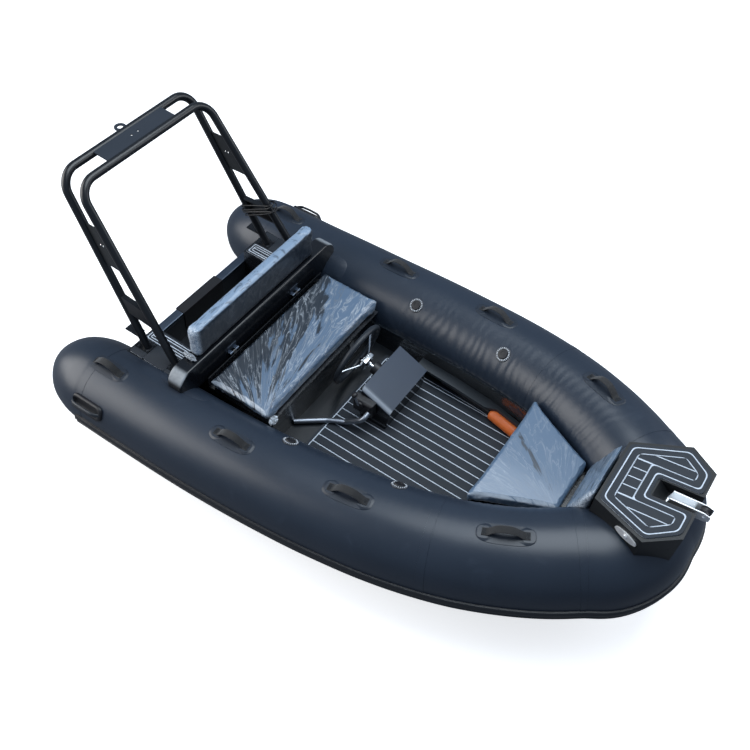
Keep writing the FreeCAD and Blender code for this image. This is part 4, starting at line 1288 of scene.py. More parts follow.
@dataclass
class TubeFittings:
    """Grab straps, inflation valves, lifting handles and doublers glued to the tubes."""

    line: TubeLine
    straps: Pairs = (
        (-1.120, 84.0), (-0.360, 85.0), (0.239, 85.0), (0.875, 88.0))
    valves: Pairs = ((-0.147, 125.0), (0.402, 128.0))
    handle: Pair = (-1.118, 26.0)
    reinforcement: tuple[float, float, float, float] = (-0.760, 128.0, 0.150, 0.070)
    strap_line: Pairs = (
        (-0.094, 0.004), (-0.084, 0.0035), (-0.070, 0.006), (-0.052, 0.022), (-0.030, 0.036),
        (0.0, 0.0405), (0.030, 0.036), (0.052, 0.022), (0.070, 0.006), (0.084, 0.0035),
        (0.094, 0.004))
    strap_width: float = 0.034
    strap_thick: float = 0.0032
    patch_half: Pair = (0.118, 0.044)
    end_half: Pair = (0.026, 0.028)
    end_at: float = 0.078
    stitches: int = 9
    stitch_pitch: float = 0.0021
    thread: float = 0.0004
    flange_teeth: int = 24
    cap_flutes: int = 20
    handle_half: Pair = (0.098, 0.040)

    def build(self) -> None:
        """Makes every fitting."""
        doubler = Shell()
        self.patch(doubler, *self.reinforcement[:2], self.reinforcement[2:], 0.0012)
        doubler.mirrored().piece("tube_doublers", TUBE, smooth=50)
        self.grab_straps()
        self.inflation_valves()
        self.lift_handles()

    def patch(self, shell: Shell, x: float, degrees: float, half: Pair,
              lift: float) -> None:
        """Adds an oval patch wrapped on the skin: rings of a superellipse, falling at the rim.

        Args:
            shell: takes the patch.
            x: where its middle is.
            degrees: its angle.
            half: its half length and half width.
            lift: its thickness.
        """
        t = turns(56)
        rim = np.stack([np.sign(np.cos(t)) * np.abs(np.cos(t)) ** 0.55 * half[0],
                        np.sign(np.sin(t)) * np.abs(np.sin(t)) ** 0.7 * half[1]], axis=1)
        rows = [(1.0, -0.003), (1.0, lift * 0.4), (0.985, lift), (0.5, lift), (0.06, lift)]
        local = np.stack([np.column_stack([rim * f, np.full(len(rim), h)]) for f, h in rows])
        shell.grid(self.line.bent(x, degrees, local))

    def grab_straps(self) -> None:
        """Webbing loops: a flat section carried along a bow-shaped line over the skin."""
        webs, patches, threads = Shell(), Shell(), Shell()
        side = through([(a, 0, h) for a, h in self.strap_line], 64)
        pinch = 1.0 - 0.16 * ease(side[:, 2] / 0.03)
        scale = np.column_stack([pinch, np.ones(len(side))])[:, None]
        half = self.strap_width / 2
        web = carried(side, bar(half, self.strap_thick / 2, 0.0012, 3) * scale)
        a = np.linspace(-1, 1, 7)
        for x, degrees in self.straps:
            webs.grid(self.line.bent(x, degrees, web))
            self.patch(patches, x, degrees, self.patch_half, 0.0016)
            for end in (-1, 1):
                self.patch(patches, x + end * self.end_at, degrees, self.end_half, 0.0030)
                for k in range(self.stitches):
                    along = end * (self.end_at - 0.001 + self.stitch_pitch * k)
                    local = np.column_stack([along + 0 * a, a * half * 0.82,
                                             0.0052 + self.thread * np.cos(a * 9)])
                    threads.rope(self.line.bent(x, degrees, local), self.thread, 5)
        webs.mirrored().piece("strap_webs", STRAP, instead=["grab_straps"], smooth=50)
        patches.mirrored().piece("strap_patches", PATCH, smooth=50)
        threads.mirrored().piece("strap_stitches", GRIP, smooth=60)

    def inflation_valves(self) -> None:
        """Valve flanges with a toothed rim and a screw cap with grip flutes."""
        rims, caps, marks = Shell(), Shell(), Shell()
        for x, degrees in self.valves:
            at, out = self.line.skin(x, degrees)
            rims.lathe([(0.010, -0.012), (0.037, -0.012), (0.0375, 0.0005), (0.036, 0.003),
                        (0.031, 0.0042), (0.0262, 0.0042), (0.0255, 0.0015), (0.010, 0.0015)],
                       at, out, 96, toothed(self.flange_teeth, 0.035, 0.1, 0.0025))
            caps.lathe([(0.004, -0.002), (0.024, -0.002), (0.024, 0.007), (0.0225, 0.0095),
                        (0.012, 0.0102), (0.0115, 0.0085), (0.003, 0.0085)],
                       at, out, 96, toothed(self.cap_flutes, 0.03))
            self.ring_marks(marks, at, out)
        marks.mirrored().piece("valve_marks", MARK, smooth=30)
        rims.mirrored().piece("valve_rims", VALVE, instead=["valves"], smooth=30)
        caps.mirrored().piece("valve_caps", BLACK, smooth=30)

    @staticmethod
    def ring_marks(shell: Shell, at: Array, out: Array, count: int = 22,
                   radius: float = 0.0305) -> None:
        """Adds raised bars set radially round a valve flange.

        Args:
            shell: takes the bars.
            at: middle of the valve.
            out: its axis.
            count: how many bars.
            radius: distance of a bar's middle from the axis.
        """
        across = unit(np.cross(out, X_AXIS))
        ahead = np.cross(across, out)
        mark = bar(0.0042, 0.0015, 0.001, 2)
        for a in turns(count):
            way, side = ray(a, across, ahead), ray(a, ahead, -across)
            shell.slab(mark, lambda q, h: at + way * (radius + q[:, :1]) + side * q[:, 1:]
                       + out * h, 0.0030, 0.0052, 0.0004)

    def lift_handles(self) -> None:
        """Moulded handles: an oval dish wrapped on the skin with a bowed grip over it."""
        dish, grips = Shell(), Shell()
        outer = bar(*self.handle_half, 0.040, 8)
        rows = [(0.0, -0.006), (0.0, 0.006), (0.004, 0.0125), (0.011, 0.0145), (0.017, 0.0125),
                (0.021, 0.004), (0.024, 0.0022)]
        local = np.stack([np.column_stack([inset(outer, d), np.full(len(outer), h)])
                          for d, h in rows])
        dish.grid(self.line.bent(*self.handle, local))
        half = [(0.088, 0, 0.008), (0.080, 0, 0.016), (0.060, 0, 0.028), (0.025, 0, 0.0315)]
        grip = through([(-x, y, z) for x, y, z in half] + half[::-1], 48)
        ribs = 1.0 + 0.05 * (np.sin(grip[:, 0] * 2 * math.pi / 0.010)
                             * (np.abs(grip[:, 0]) < 0.045))
        ring = circle(1.0, 20) * [0.0088, 0.0062]
        grips.grid(self.line.bent(*self.handle, carried(grip, ring * ribs[:, None, None])))
        dish.mirrored().piece("handle_dishes", BLACK, instead=["lift_handles"], smooth=45)
        grips.mirrored().piece("handle_grips", GRIP, smooth=60)


# ---- foam decks ------------------------
@dataclass
class FoamPad:
    """Foam deck sheet: pale core with dark planks on it, parted by narrow grooves.

    The outline is convex. borders are the distances in from it of the grooves that follow it,
    and notch (x, half) cuts a slot in from its forward edge. A plain pad is one plank.
    """

    corners: Array
    radius: float
    low: float
    high: float
    borders: tuple[float, ...] = (0.018,)
    notch: Optional[Pair] = None
    plain: bool = False
    slope: Pair = (0.0, 0.0)  # where it starts, and its rise per metre
    pitch: float = 0.0482
    groove: float = 0.0052
    depth: float = 0.0012
    sink: float = 0.0004  # how far a plank reaches into the core
    edge: float = 0.0006
    margin: float = 0.0008
    narrowest: float = 0.004

    def place(self, outline: Array, z: float) -> Array:
        """Plan pairs at a height, climbing forward with the slope."""
        return np.column_stack([outline, z + (outline[:, 0] - self.slope[0]) * self.slope[1]])

    def slot(self, by: float) -> Pair:
        """The notch's end and half width, with its outline moved by a distance."""
        return self.notch[0] - by, self.notch[1] + by

    def loop(self, by: float) -> Array:
        """The outline moved inwards, its corners rounded; a slot parts its two halves.

        Args:
            by: the distance.

        Returns:
            Pairs of the outline.
        """
        p = inset(self.corners, by)
        if self.notch:
            x, half = self.slot(by)
            tip, middle = float(p[:, 0].max()), len(p) // 2
            slot = [(tip, -half), (x, -half), (x, half), (tip, half)]
            p = np.vstack([p[:middle], slot, p[middle:]])
        return rounded(p, self.radius, 5)

    def frame(self, shell: Shell, rows: Sequence[Pair]) -> None:
        """Adds a closed frame whose section is given as (distance inwards, height) pairs."""
        shell.grid(np.stack([self.place(self.loop(d), z) for d, z in rows]), ring=True)

    def fields(self, by: float) -> list[Array]:
        """Convex regions inside the last border: all of it, or two arms and a middle.

        Args:
            by: distance of the border from the outline.

        Returns:
            Outlines.
        """
        whole = inset(self.corners, by)
        if not self.notch:
            return [whole]
        x, half = self.slot(by)
        middle = clipped(clipped(clipped(whole, (0, 1), half), (0, -1), half), (1, 0), x)
        return [clipped(whole, (0, -1), -half), middle, clipped(whole, (0, 1), -half)]

    def lay(self, core: Shell, planks: Shell) -> None:
        """Adds this pad's core, the framing planks along its borders and the planks inside.

        Args:
            core: takes the core.
            planks: takes the planks.
        """
        top, low, high = self.high - self.depth, self.low, self.high
        sunk, edge = top - self.sink, self.edge
        if self.notch:
            last = self.borders[-1] + self.groove
            self.frame(core, [(self.margin, low), (self.margin, sunk),
                              (self.margin + self.sink, top), (last, top), (last, low)])
            fields = self.fields(self.borders[-1])
        else:
            fields = [rounded(inset(self.corners, self.margin), self.radius, 5)]
        for field in fields:
            core.slab(field, self.place, low, top, self.sink)
        outer = 0.0
        for border in self.borders:
            inner = border - self.groove / 2
            self.frame(planks, [(outer, sunk), (outer, high - edge), (outer + edge, high),
                                (inner - edge, high), (inner, high - edge), (inner, sunk)])
            outer = border + self.groove / 2
        for field in self.fields(outer):
            for plank in self.boards(field):
                planks.slab(plank, self.place, sunk, high, edge if self.plain else 0.0005)

    def boards(self, field: Array) -> list[Array]:
        """Outlines of the planks over one convex region, laid fore and aft.

        Args:
            field: outline of the region.

        Returns:
            Outlines, without slivers.
        """
        if self.plain:
            return [rounded(inset(field, 0.0002), self.radius, 5)]
        first = math.floor(field[:, 1].min() / self.pitch)
        last = math.ceil(field[:, 1].max() / self.pitch)
        found = []
        for a in np.arange(first, last + 1) * self.pitch:
            strip = clipped(field, (0, -1), -(a + self.groove / 2))
            if len(strip) > 2:
                strip = clipped(strip, (0, 1), a + self.pitch - self.groove / 2)
            if len(strip) > 2 and np.ptp(strip[:, 1]) > self.narrowest:
                keep = np.linalg.norm(strip - np.roll(strip, 1, axis=0), axis=1) > self.edge
                found.append(strip[keep])
        return found


@dataclass
class Decks:
    """Cockpit, stern and bow foam sheets."""

    cockpit_x: tuple[float, ...] = (-0.239, 0.011, 0.185, 0.359, 0.533, 0.604)
    cockpit_y: tuple[float, ...] = (0.369, 0.373, 0.370, 0.364, 0.332, 0.320)
    bow: Pairs = ((1.078, 0.154), (1.297, 0.246), (1.406, 0.160))
    bow_notch: Pair = (1.237, 0.051)
    stern: tuple[float, float, float, float] = (-1.147, -0.840, 0.343, 0.423)
    stern_plain: tuple[tuple[float, float, float, float], ...] = (
        (-1.061, -0.928, 0.4235, 0.524), (-1.147, -1.0615, 0.487, 0.524),
        (-0.9275, -0.840, 0.500, 0.524))
    thick: float = 0.005

    @staticmethod
    def both_sides(half: Array) -> Array:
        """Starboard and port halves of an outline, from its port half."""
        return np.vstack([half * [1, -1], half[::-1]])

    def build(self) -> None:
        """Lays the three kinds of pad."""
        low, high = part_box("deck_pads")
        core, planks = Shell(), Shell()
        outline = self.both_sides(np.column_stack([self.cockpit_x, self.cockpit_y]))
        FoamPad(outline, 0.012, low[2], low[2] + self.thick, (0.016,)).lay(core, planks)
        for plan in (self.stern,) + self.stern_plain:
            plain = plan != self.stern
            for side in (1, -1):
                corners = rectangle(*plan[:2], *sorted(side * y for y in plan[2:]))
                FoamPad(corners, 0.010, high[2] - self.thick, high[2],
                        () if plain else (0.011, 0.024), plain=plain).lay(core, planks)
        core.piece("deck_foam_core", GROOVE, instead=["deck_pads"], smooth=30)
        planks.piece("deck_foam_planks", FOAM, smooth=30)
        low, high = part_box("bow_pad")
        core, planks = Shell(), Shell()
        gain = (high[2] - low[2] - self.thick) / (self.bow[-1][0] - self.bow[0][0])
        FoamPad(self.both_sides(np.array(self.bow)), 0.020, low[2], low[2] + self.thick,
                (0.017, 0.048), self.bow_notch, slope=(self.bow[0][0], gain)).lay(core, planks)
        core.piece("bow_foam_core", GROOVE, instead=["bow_pad"], smooth=30)
        planks.piece("bow_foam_planks", FOAM, smooth=30)


# ---- hull, cockpit and seats ------------------------
@dataclass
class Hull:
    """V hull with spray rails and a drain plug, transom with its cap, cockpit panels."""

    rails: tuple[Triples, ...] = (
        ((-1.140, 0.330, -0.087), (-0.500, 0.330, -0.085), (0.100, 0.315, -0.068),
         (0.620, 0.255, -0.014), (0.900, 0.185, 0.035)),
        ((-1.140, 0.180, -0.139), (-0.500, 0.180, -0.138), (0.100, 0.172, -0.126),
         (0.620, 0.140, -0.083), (0.900, 0.105, -0.023)),
    )
    panels: tuple[tuple[str, Finish], ...] = (
        ("hull", HULL), ("deck_floor", DECK), ("side_walls", GLOSS), ("transom", HULL),
        ("transom_wear_plate", BLACK), ("stern_boxes", PANEL), ("side_shelves", SHELF),
        ("bow_locker", PANEL), ("tow_eye", ALLOY))
    plug: Pair = (-0.17, 0.02)
    cap_over: float = 0.002  # how far the cap stands off the plate
    cap_down: float = 0.022
    cap_end: float = 0.424

    def build(self) -> None:
        """Dresses the CAD panels and adds rails, plug and the transom's cap."""
        dress_all(self.panels)
        shell = Shell()
        section = np.array([(-0.014, -0.004), (0.014, -0.004), (0.012, 0.010), (-0.002, 0.006)])
        for rail in self.rails:
            path = through(rail, 60)
            taper = np.minimum(1.0, np.linspace(2.6, 0.12, 60))[:, None, None]
            shell.grid(carried(path, section[::-1] * [1, -1] * taper))
        shell.mirrored().piece("spray_rails", HULL, smooth=20)
        Shell().lathe([(0.004, -0.002), (0.021, -0.002), (0.021, 0.002), (0.0135, 0.003),
                       (0.0125, 0.010), (0.004, 0.0105)], (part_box("transom")[0][0], *self.plug),
                      -X_AXIS, 40, toothed(6, 0.05, above=0.004)).piece("drain_plug", BLACK)
        self.transom_cap()

    def transom_cap(self) -> None:
        """Folded satin strip over the transom's top edge, parted by the motor pad."""
        (x0, _, _), (x1, _, top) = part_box("transom")
        (_, pad0, _), (_, pad1, _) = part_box("transom_wear_plate")
        over = self.cap_over
        u = rounded(rectangle(x0 - over, x1 + over, top - self.cap_down, top + over), 0.005)
        shell = Shell()
        for ends in ((pad1 + over, self.cap_end), (-self.cap_end, pad0 - over)):
            shell.grid(np.stack([np.insert(u, 1, y, axis=1) for y in ends]))
        shell.piece("transom_cap", CAP, smooth=40)


@dataclass
class Cushion:
    """A stuffed pad under packing film: crowned box, swelled by cloth pressure, creased."""

    name: str
    node: str
    body: Body
    plan: Array
    low: float
    high: float
    lean: Pair = (0.0, 0.0)  # height where the aft face starts to lean, and run
    flare: float = 0.0  # how much narrower each end is at the bottom
    corner: float = 0.028
    shrink: float = 0.008
    swell: float = 0.010
    voxel: float = 0.007
    crease: float = 0.0014
    seed: int = 1
    flatten: Triple = (1.0, 0.55, 1.0)  # makes the creases longer along an axis
    finish: FilmedCover = SEAT_FILM
    rings: int = 9
    waist: float = 0.010
    tuck: float = 0.03
    dome: float = 0.010
    hem: tuple[float, ...] = (0.25, 0.6, 0.85)
    pressure: float = 4.0
    steps: int = 14
    room: Pair = (0.0004, 0.004)  # inside the CAD box below, outside it above

    def box_mesh(self) -> Piece:
        """Closed crowned pad: rings of the plan pulled in at the sides, domed on top.

        Returns:
            The pad, not yet swelled.
        """
        plan = rounded(inset(self.plan, self.shrink), self.corner, 6)
        mid = plan.mean(0)
        tall = self.high - self.low
        rows = [(1.0 - self.waist * (1 - a * a) - self.tuck * ease((abs(a) - 0.6) / 0.4) ** 2,
                 self.low + self.shrink / 2 + (tall - self.shrink) * (a + 1) / 2)
                for a in np.linspace(-1, 1, self.rings)]
        rows = ([(f, rows[0][1] - 0.0005) for f in self.hem] + rows
                + [(f, rows[-1][1] + self.dome * (1 - f * f)) for f in self.hem[::-1]])
        p = np.stack([np.column_stack([mid + (plan - mid) * f, np.full(len(plan), z)])
                      for f, z in rows])
        rise = np.clip((p[..., 2] - self.lean[0]) / (self.high - self.lean[0]), 0, 1)
        fore = float(plan[:, 0].max())
        squeeze = rise * self.lean[1] / (fore - plan[:, 0].min())
        p[..., 0] = fore - (fore - p[..., 0]) * (1 - squeeze)
        drop = np.clip((self.high - p[..., 2]) / tall, 0, 1)
        p[..., 1] *= 1 - drop * self.flare / float(plan[:, 1].max())
        return Shell().grid(p).mesh(self.name)

    def puff(self, obj: Piece) -> None:
        """Swells the pad with cloth pressure and caps how far a point may move.

        Args:
            obj: the pad.
        """
        bpy.context.view_layer.objects.active = obj
        remesh = obj.modifiers.new("grid", "REMESH")
        remesh.mode, remesh.voxel_size = "VOXEL", self.voxel
        bpy.ops.object.modifier_apply(modifier=remesh.name)
        start = read_points(obj)
        cloth = obj.modifiers.new("cloth", "CLOTH")
        cloth.settings.use_pressure = True
        cloth.settings.uniform_pressure_force = self.pressure
        cloth.settings.effector_weights.gravity = 0.0
        cloth.settings.quality = 5
        cloth.point_cache.frame_start, cloth.point_cache.frame_end = 1, 20
        scene = bpy.context.scene
        for step in range(self.steps):
            scene.frame_set(1 + step)
        end = read_points(obj.evaluated_get(bpy.context.evaluated_depsgraph_get()))
        obj.modifiers.remove(cloth)
        scene.frame_set(1)
        move = end - start
        far = np.linalg.norm(move, axis=1, keepdims=True)
        write_points(obj, start + move * np.minimum(1.0, self.swell / np.maximum(far, 1e-9)))
        bpy.context.view_layer.objects.active = obj
        sub = obj.modifiers.new("fine", "SUBSURF")
        sub.levels = sub.render_levels = 1
        bpy.ops.object.modifier_apply(modifier=sub.name)

    def crumple(self, obj: Piece) -> None:
        """Raises film creases along the normals, strongest near rims and corners.

        Args:
            obj: the pad.
        """
        p = read_points(obj)
        n = np.zeros(len(p) * 3)
        obj.data.vertices.foreach_get("normal", n)
        n = n.reshape(-1, 3)
        mid = self.plan.mean(0)
        rim = np.max(np.abs(p[:, :2] - mid) / (np.ptp(self.plan, axis=0) / 2), axis=1)
        strength = 0.45 + 0.75 * ease((rim - 0.7) / 0.3)
        away = np.linalg.norm(p[:, :2] - self.finish.gather, axis=1)
        strength += 2.0 * ease((self.finish.tuft - away) / 0.04)
        height = creases(p * self.flatten, 0.10, self.seed) * self.crease
        height += creases(p, 0.035, self.seed + 3) * self.crease * 0.5
        write_points(obj, p + n * (height * strength)[:, None])

    def build(self) -> None:
        """Makes the cushion, keeps it inside its CAD box and settles it."""
        obj = self.box_mesh()
        self.puff(obj)
        self.crumple(obj)
        p = read_points(obj)
        low, high = (np.array(c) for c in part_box(self.node))
        write_points(obj, np.clip(p, low + self.room[0], high + self.room[1]))
        obj.data.shade_smooth()
        settle(obj, self.finish, self.body, [self.node])


def read_points(obj: Piece) -> Array:
    """Vertex places of a mesh object.

    Args:
        obj: the object.

    Returns:
        One point for each vertex.
    """
    flat = np.zeros(len(obj.data.vertices) * 3)
    obj.data.vertices.foreach_get("co", flat)
    return flat.reshape(-1, 3)


def write_points(obj: Piece, p: Array) -> None:
    """Sets vertex places of a mesh object."""
    obj.data.vertices.foreach_set("co", p.ravel())
    obj.data.update()


@dataclass
class Seats:
    """Helm seat, backrest and bow seat with their cushions, fittings and bunched film."""

    panels: tuple[tuple[str, Finish], ...] = (
        ("backrest_box", BULKHEAD), ("seat_box", GLOSS), ("seat_lid", PANEL),
        ("seat_hinges", CAP), ("seat_latch", STEEL))
    bow_plan: Pairs = ((0.590, 0.327), (0.968, 0.150))
    bolster: Triple = (0.971, 0.500, 0.071)  # aft face, height where it leans, and by how much
    seat_flare: float = 0.032
    bunches: tuple[tuple[str, Body, Triple, Triple], ...] = (
        ("seat_film_bunch", Body.LID, (-0.340, -0.428, 0.352), (0.015, 0.024, 0.020)),
        ("backrest_film_bunch", Body.BOAT, (-0.790, -0.463, 0.520), (0.034, 0.010, 0.019)),
        ("bolster_film_bunch", Body.BOAT, (0.978, -0.166, 0.500), (0.018, 0.010, 0.016)))

    def film_bunches(self) -> None:
        """Bunches of film at the cushions' gathered corners: crumpled ellipsoids."""
        around = turns(64)[None, :]
        down = np.linspace(0.04, math.pi - 0.04, 40)[:, None]
        ball = np.stack([np.sin(down) * np.cos(around), np.sin(down) * np.sin(around),
                         np.cos(down) + 0 * around], axis=-1)
        for seed, (name, body, at, half) in enumerate(self.bunches):
            swell = (0.8 + 0.25 * creases(ball, 0.9, 40 + seed)
                     + 0.2 * creases(ball, 0.4, 50 + seed))
            Shell().grid(np.array(at) + ball * half * np.clip(swell, 0.5, 1.25)[..., None]).piece(
                name, BUNCH, body, smooth=25)

    def build(self) -> None:
        """Dresses the boxes and makes the film bunches and the four cushions."""
        self.film_bunches()
        dress_all(self.panels)
        (x0, y0, z0), (x1, y1, z1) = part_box("seat_cushion")
        Cushion("seat_pad", "seat_cushion", Body.LID, rectangle(x0, x1, y0, y1), z0, z1,
                flare=self.seat_flare, corner=0.012, seed=4).build()
        (x0, y0, z0), (x1, y1, z1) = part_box("backrest_cushion")
        Cushion("backrest_pad", "backrest_cushion", Body.BOAT, rectangle(x0, x1, y0, y1), z0, z1,
                seed=9, swell=0.005, crease=0.0005, flatten=(1.0, 0.7, 0.5),
                finish=BACK_FILM).build()
        (_, _, z0), (_, _, z1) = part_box("bow_seat_cushion")
        (xa, ya), (xf, yf) = self.bow_plan
        Cushion("bow_seat_pad", "bow_seat_cushion", Body.BOAT,
                np.array([(xa, -ya), (xf, -yf), (xf, yf), (xa, ya)]), z0, z1, corner=0.014,
                seed=15, finish=BOW_FILM).build()
        (_, _, z0), (x1, y1, z1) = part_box("bow_back_cushion")
        Cushion("bow_back_pad", "bow_back_cushion", Body.BOAT,
                rectangle(self.bolster[0], x1, -y1, y1), z0, z1, lean=self.bolster[1:],
                seed=22, swell=0.005, finish=BOLSTER_FILM).build()


# ---- helm ------------------------
@dataclass
class Helm:
    """Console, steering wheel, control box with its lever, and the cable conduit."""

    panels: tuple[tuple[str, Finish], ...] = (
        ("console", CONSOLE), ("helm_collar", BLACK), ("control_conduit", ALLOY),
        ("control_box", BLACK))
    spokes: int = 3
    bolts: int = 4
    rim_radius: float = 0.163
    grip_radius: float = 0.0145
    finger_grips: int = 24
    hub_half: float = 0.036
    hub_back: float = 0.056  # how far the hub is set back from the rim's plane
    shaft_from: float = 0.004
    shaft_radius: float = 0.0095
    spoke_radius: float = 0.006
    lever_height: float = 0.066

    def build(self) -> None:
        """Dresses the console and makes the wheel and controls."""
        dress_all(self.panels)
        joint = joint_named("steering_wheel")
        base, axis = np.array(joint["pos_m"]), unit(np.array(joint["axis"]))
        middle = sum(np.array(c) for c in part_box("wheel_rim")) / 2
        up = np.cross(Y_AXIS, axis)
        self.rim(middle, axis, up)
        self.spider(middle, base, axis, up)
        self.lever()

    def rim(self, middle: Array, axis: Array, up: Array) -> None:
        """Rim: a circle carried round the axis, with finger grips on its inner side.

        Args:
            middle: middle of the rim.
            axis: the shaft's direction.
            up: direction across the shaft, upwards.
        """
        a = turns(240)[:, None, None]
        b = turns(20)[None, :, None]
        out = np.cos(a) * Y_AXIS + np.sin(a) * up
        waves = (1.0 - 0.05 * (0.5 + 0.5 * np.cos(a * self.finger_grips)) ** 2
                 * (np.cos(b) < 0.2))
        r = self.grip_radius * waves
        p = middle + out * (self.rim_radius + r * np.cos(b)) + axis * r * np.sin(b)
        Shell().grid(p, ring=True).piece("wheel_grip", GRIP, Body.WHEEL, ["wheel_rim"], smooth=60)

    def spider(self, middle: Array, base: Array, axis: Array, up: Array) -> None:
        """Hub plate with its cap, shaft and bolts, and the spokes out to the rim.

        Args:
            middle: middle of the rim.
            base: where the shaft comes out of the console.
            axis: the shaft's direction.
            up: direction across the shaft, upwards.
        """
        hub = float((middle - base) @ axis) - self.hub_back
        centre = base + axis * hub
        shell = Shell()
        shell.slab(bar(self.hub_half, self.hub_half, 0.006),
                   lambda q, h: centre + Y_AXIS * q[:, :1] + up * q[:, 1:] + axis * h,
                   -0.014, 0.012, 0.003)
        shell.lathe([(0.003, -0.028), (0.013, -0.028), (0.015, -0.020), (0.024, -0.013),
                     (0.003, -0.013)], centre, axis, 48)
        shell.lathe([(0.003, 0.011), (0.021, 0.011), (0.021, 0.015), (0.013, 0.021),
                     (0.003, 0.022)], centre, axis, 48)
        shell.lathe([(0.003, self.shaft_from), (self.shaft_radius, self.shaft_from),
                     (self.shaft_radius, hub), (0.003, hub)], base, axis, 24)
        for k in range(self.spokes):
            way = ray(math.radians(60 + 360 / self.spokes * k), Y_AXIS, up)
            tip = middle + way * (self.rim_radius - 0.004) - axis * 0.003
            path = through([centre + way * 0.016, centre + way * 0.052 + axis * 0.012,
                            tip - way * 0.030 - axis * 0.004, tip], 30)
            shell.rope(path, self.spoke_radius, 16, axis)
        shell.piece("wheel_spider", STEEL, Body.WHEEL, ["wheel_spokes"], smooth=40)
        heads = Shell()
        for k in range(self.bolts):
            way = ray(math.radians(45 + 360 / self.bolts * k), Y_AXIS, up)
            heads.lathe([(0.001, 0.0), (0.0048, 0.0), (0.0048, 0.005), (0.001, 0.006)],
                        centre + axis * 0.011 + way * 0.037, axis, 12)
        heads.piece("wheel_bolts", STEEL, Body.WHEEL, smooth=30)

    def lever(self) -> None:
        """Throttle lever on the outer face of the control box: boss, arm and knob."""
        low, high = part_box("control_box")
        x, y, z = (low[0] + high[0]) / 2 - 0.012, low[1], low[2] + self.lever_height
        Shell().lathe([(0.002, -0.001), (0.021, -0.001), (0.021, 0.006), (0.016, 0.010),
                       (0.002, 0.010)], (x, y, z), -Y_AXIS, 40).piece(
                           "lever_boss", BLACK, smooth=35)
        path = through([(x, y - 0.007, z), (x - 0.012, y - 0.009, z + 0.030),
                        (x - 0.026, y - 0.006, z + 0.056)], 20)
        Shell().grid(carried(path, bar(0.007, 0.003, 0.002, 3), Y_AXIS)).piece(
            "lever_arm", ALLOY, smooth=40)
        Shell().lathe([(0.002, -0.013), (0.009, -0.012), (0.0125, -0.004), (0.0125, 0.006),
                       (0.009, 0.013), (0.002, 0.015)], path[-1] + Z_AXIS * 0.004, Y_AXIS, 28
                      ).piece("lever_knob", BLACK, smooth=60)


# ---- bow ------------------------
@dataclass
class Bow:
    """Bow deck box, fairleads, and the anchor bracket with its roller."""

    panels: tuple[tuple[str, Finish], ...] = (
        ("bow_deck", FLANK), ("anchor_bracket", BRIGHT), ("bow_fairleads", SATIN))
    groove: Pairs = ((0.0236, 0.011), (0.0205, 0.006), (0.0185, 0.0))

    def build(self) -> None:
        """Dresses the CAD metalwork and turns the roller: two rims and a groove between."""
        dress_all(self.panels)
        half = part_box("anchor_roller")[1][1]
        right = [(0.0056, half), (0.020, half), (0.0236, half - 0.002), *self.groove]
        left = [(r, -d) for r, d in right[:-1]]
        Shell().lathe(left + right[::-1], joint_named("anchor_roller")["pos_m"], Y_AXIS, 48
                      ).piece("bow_roller", BLACK, Body.ROLLER, ["anchor_roller"], smooth=35)


@dataclass
class Paddle:
    """Stowed paddle: dark shaft with a grip and an orange float-blade."""

    grip_at: float = 0.04
    grip_long: float = 0.05
    blade: Pairs = (
        (0.12, 0.0), (0.55, 0.0), (0.80, 0.012), (0.97, 0.05), (1.0, 0.12), (1.0, 0.80),
        (0.95, 0.90), (0.70, 0.98), (0.12, 1.0))

    def build(self) -> None:
        """Makes the shaft and the blade from their CAD boxes."""
        lo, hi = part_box("paddle_shaft")
        flo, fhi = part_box("paddle_float")
        r, slim = (fhi[2] - flo[2]) / 2, (hi[2] - lo[2]) / 2
        z = (flo[2] + fhi[2]) / 2
        start = np.array([lo[0] + 0.002, hi[1] - slim, z])
        meet = np.array([flo[0] + 0.007, fhi[1] - r, z])
        end = np.array([fhi[0] - 0.006, flo[1] + r, z])
        t = np.linspace(0, 1, 40)
        pole = slim * (0.86 + 0.13 * np.exp(-((t - self.grip_at) / self.grip_long) ** 2))
        Shell().rope(start + (meet - start) * t[:, None], pole, 24).piece(
            "paddle_pole", BLACK, instead=["paddle_shaft"])
        run = float(np.linalg.norm(end - meet))
        Shell().lathe([(r * f, run * d) for f, d in self.blade], meet, end - meet, 40).piece(
            "paddle_float_blade", ORANGE, instead=["paddle_float"], smooth=50)


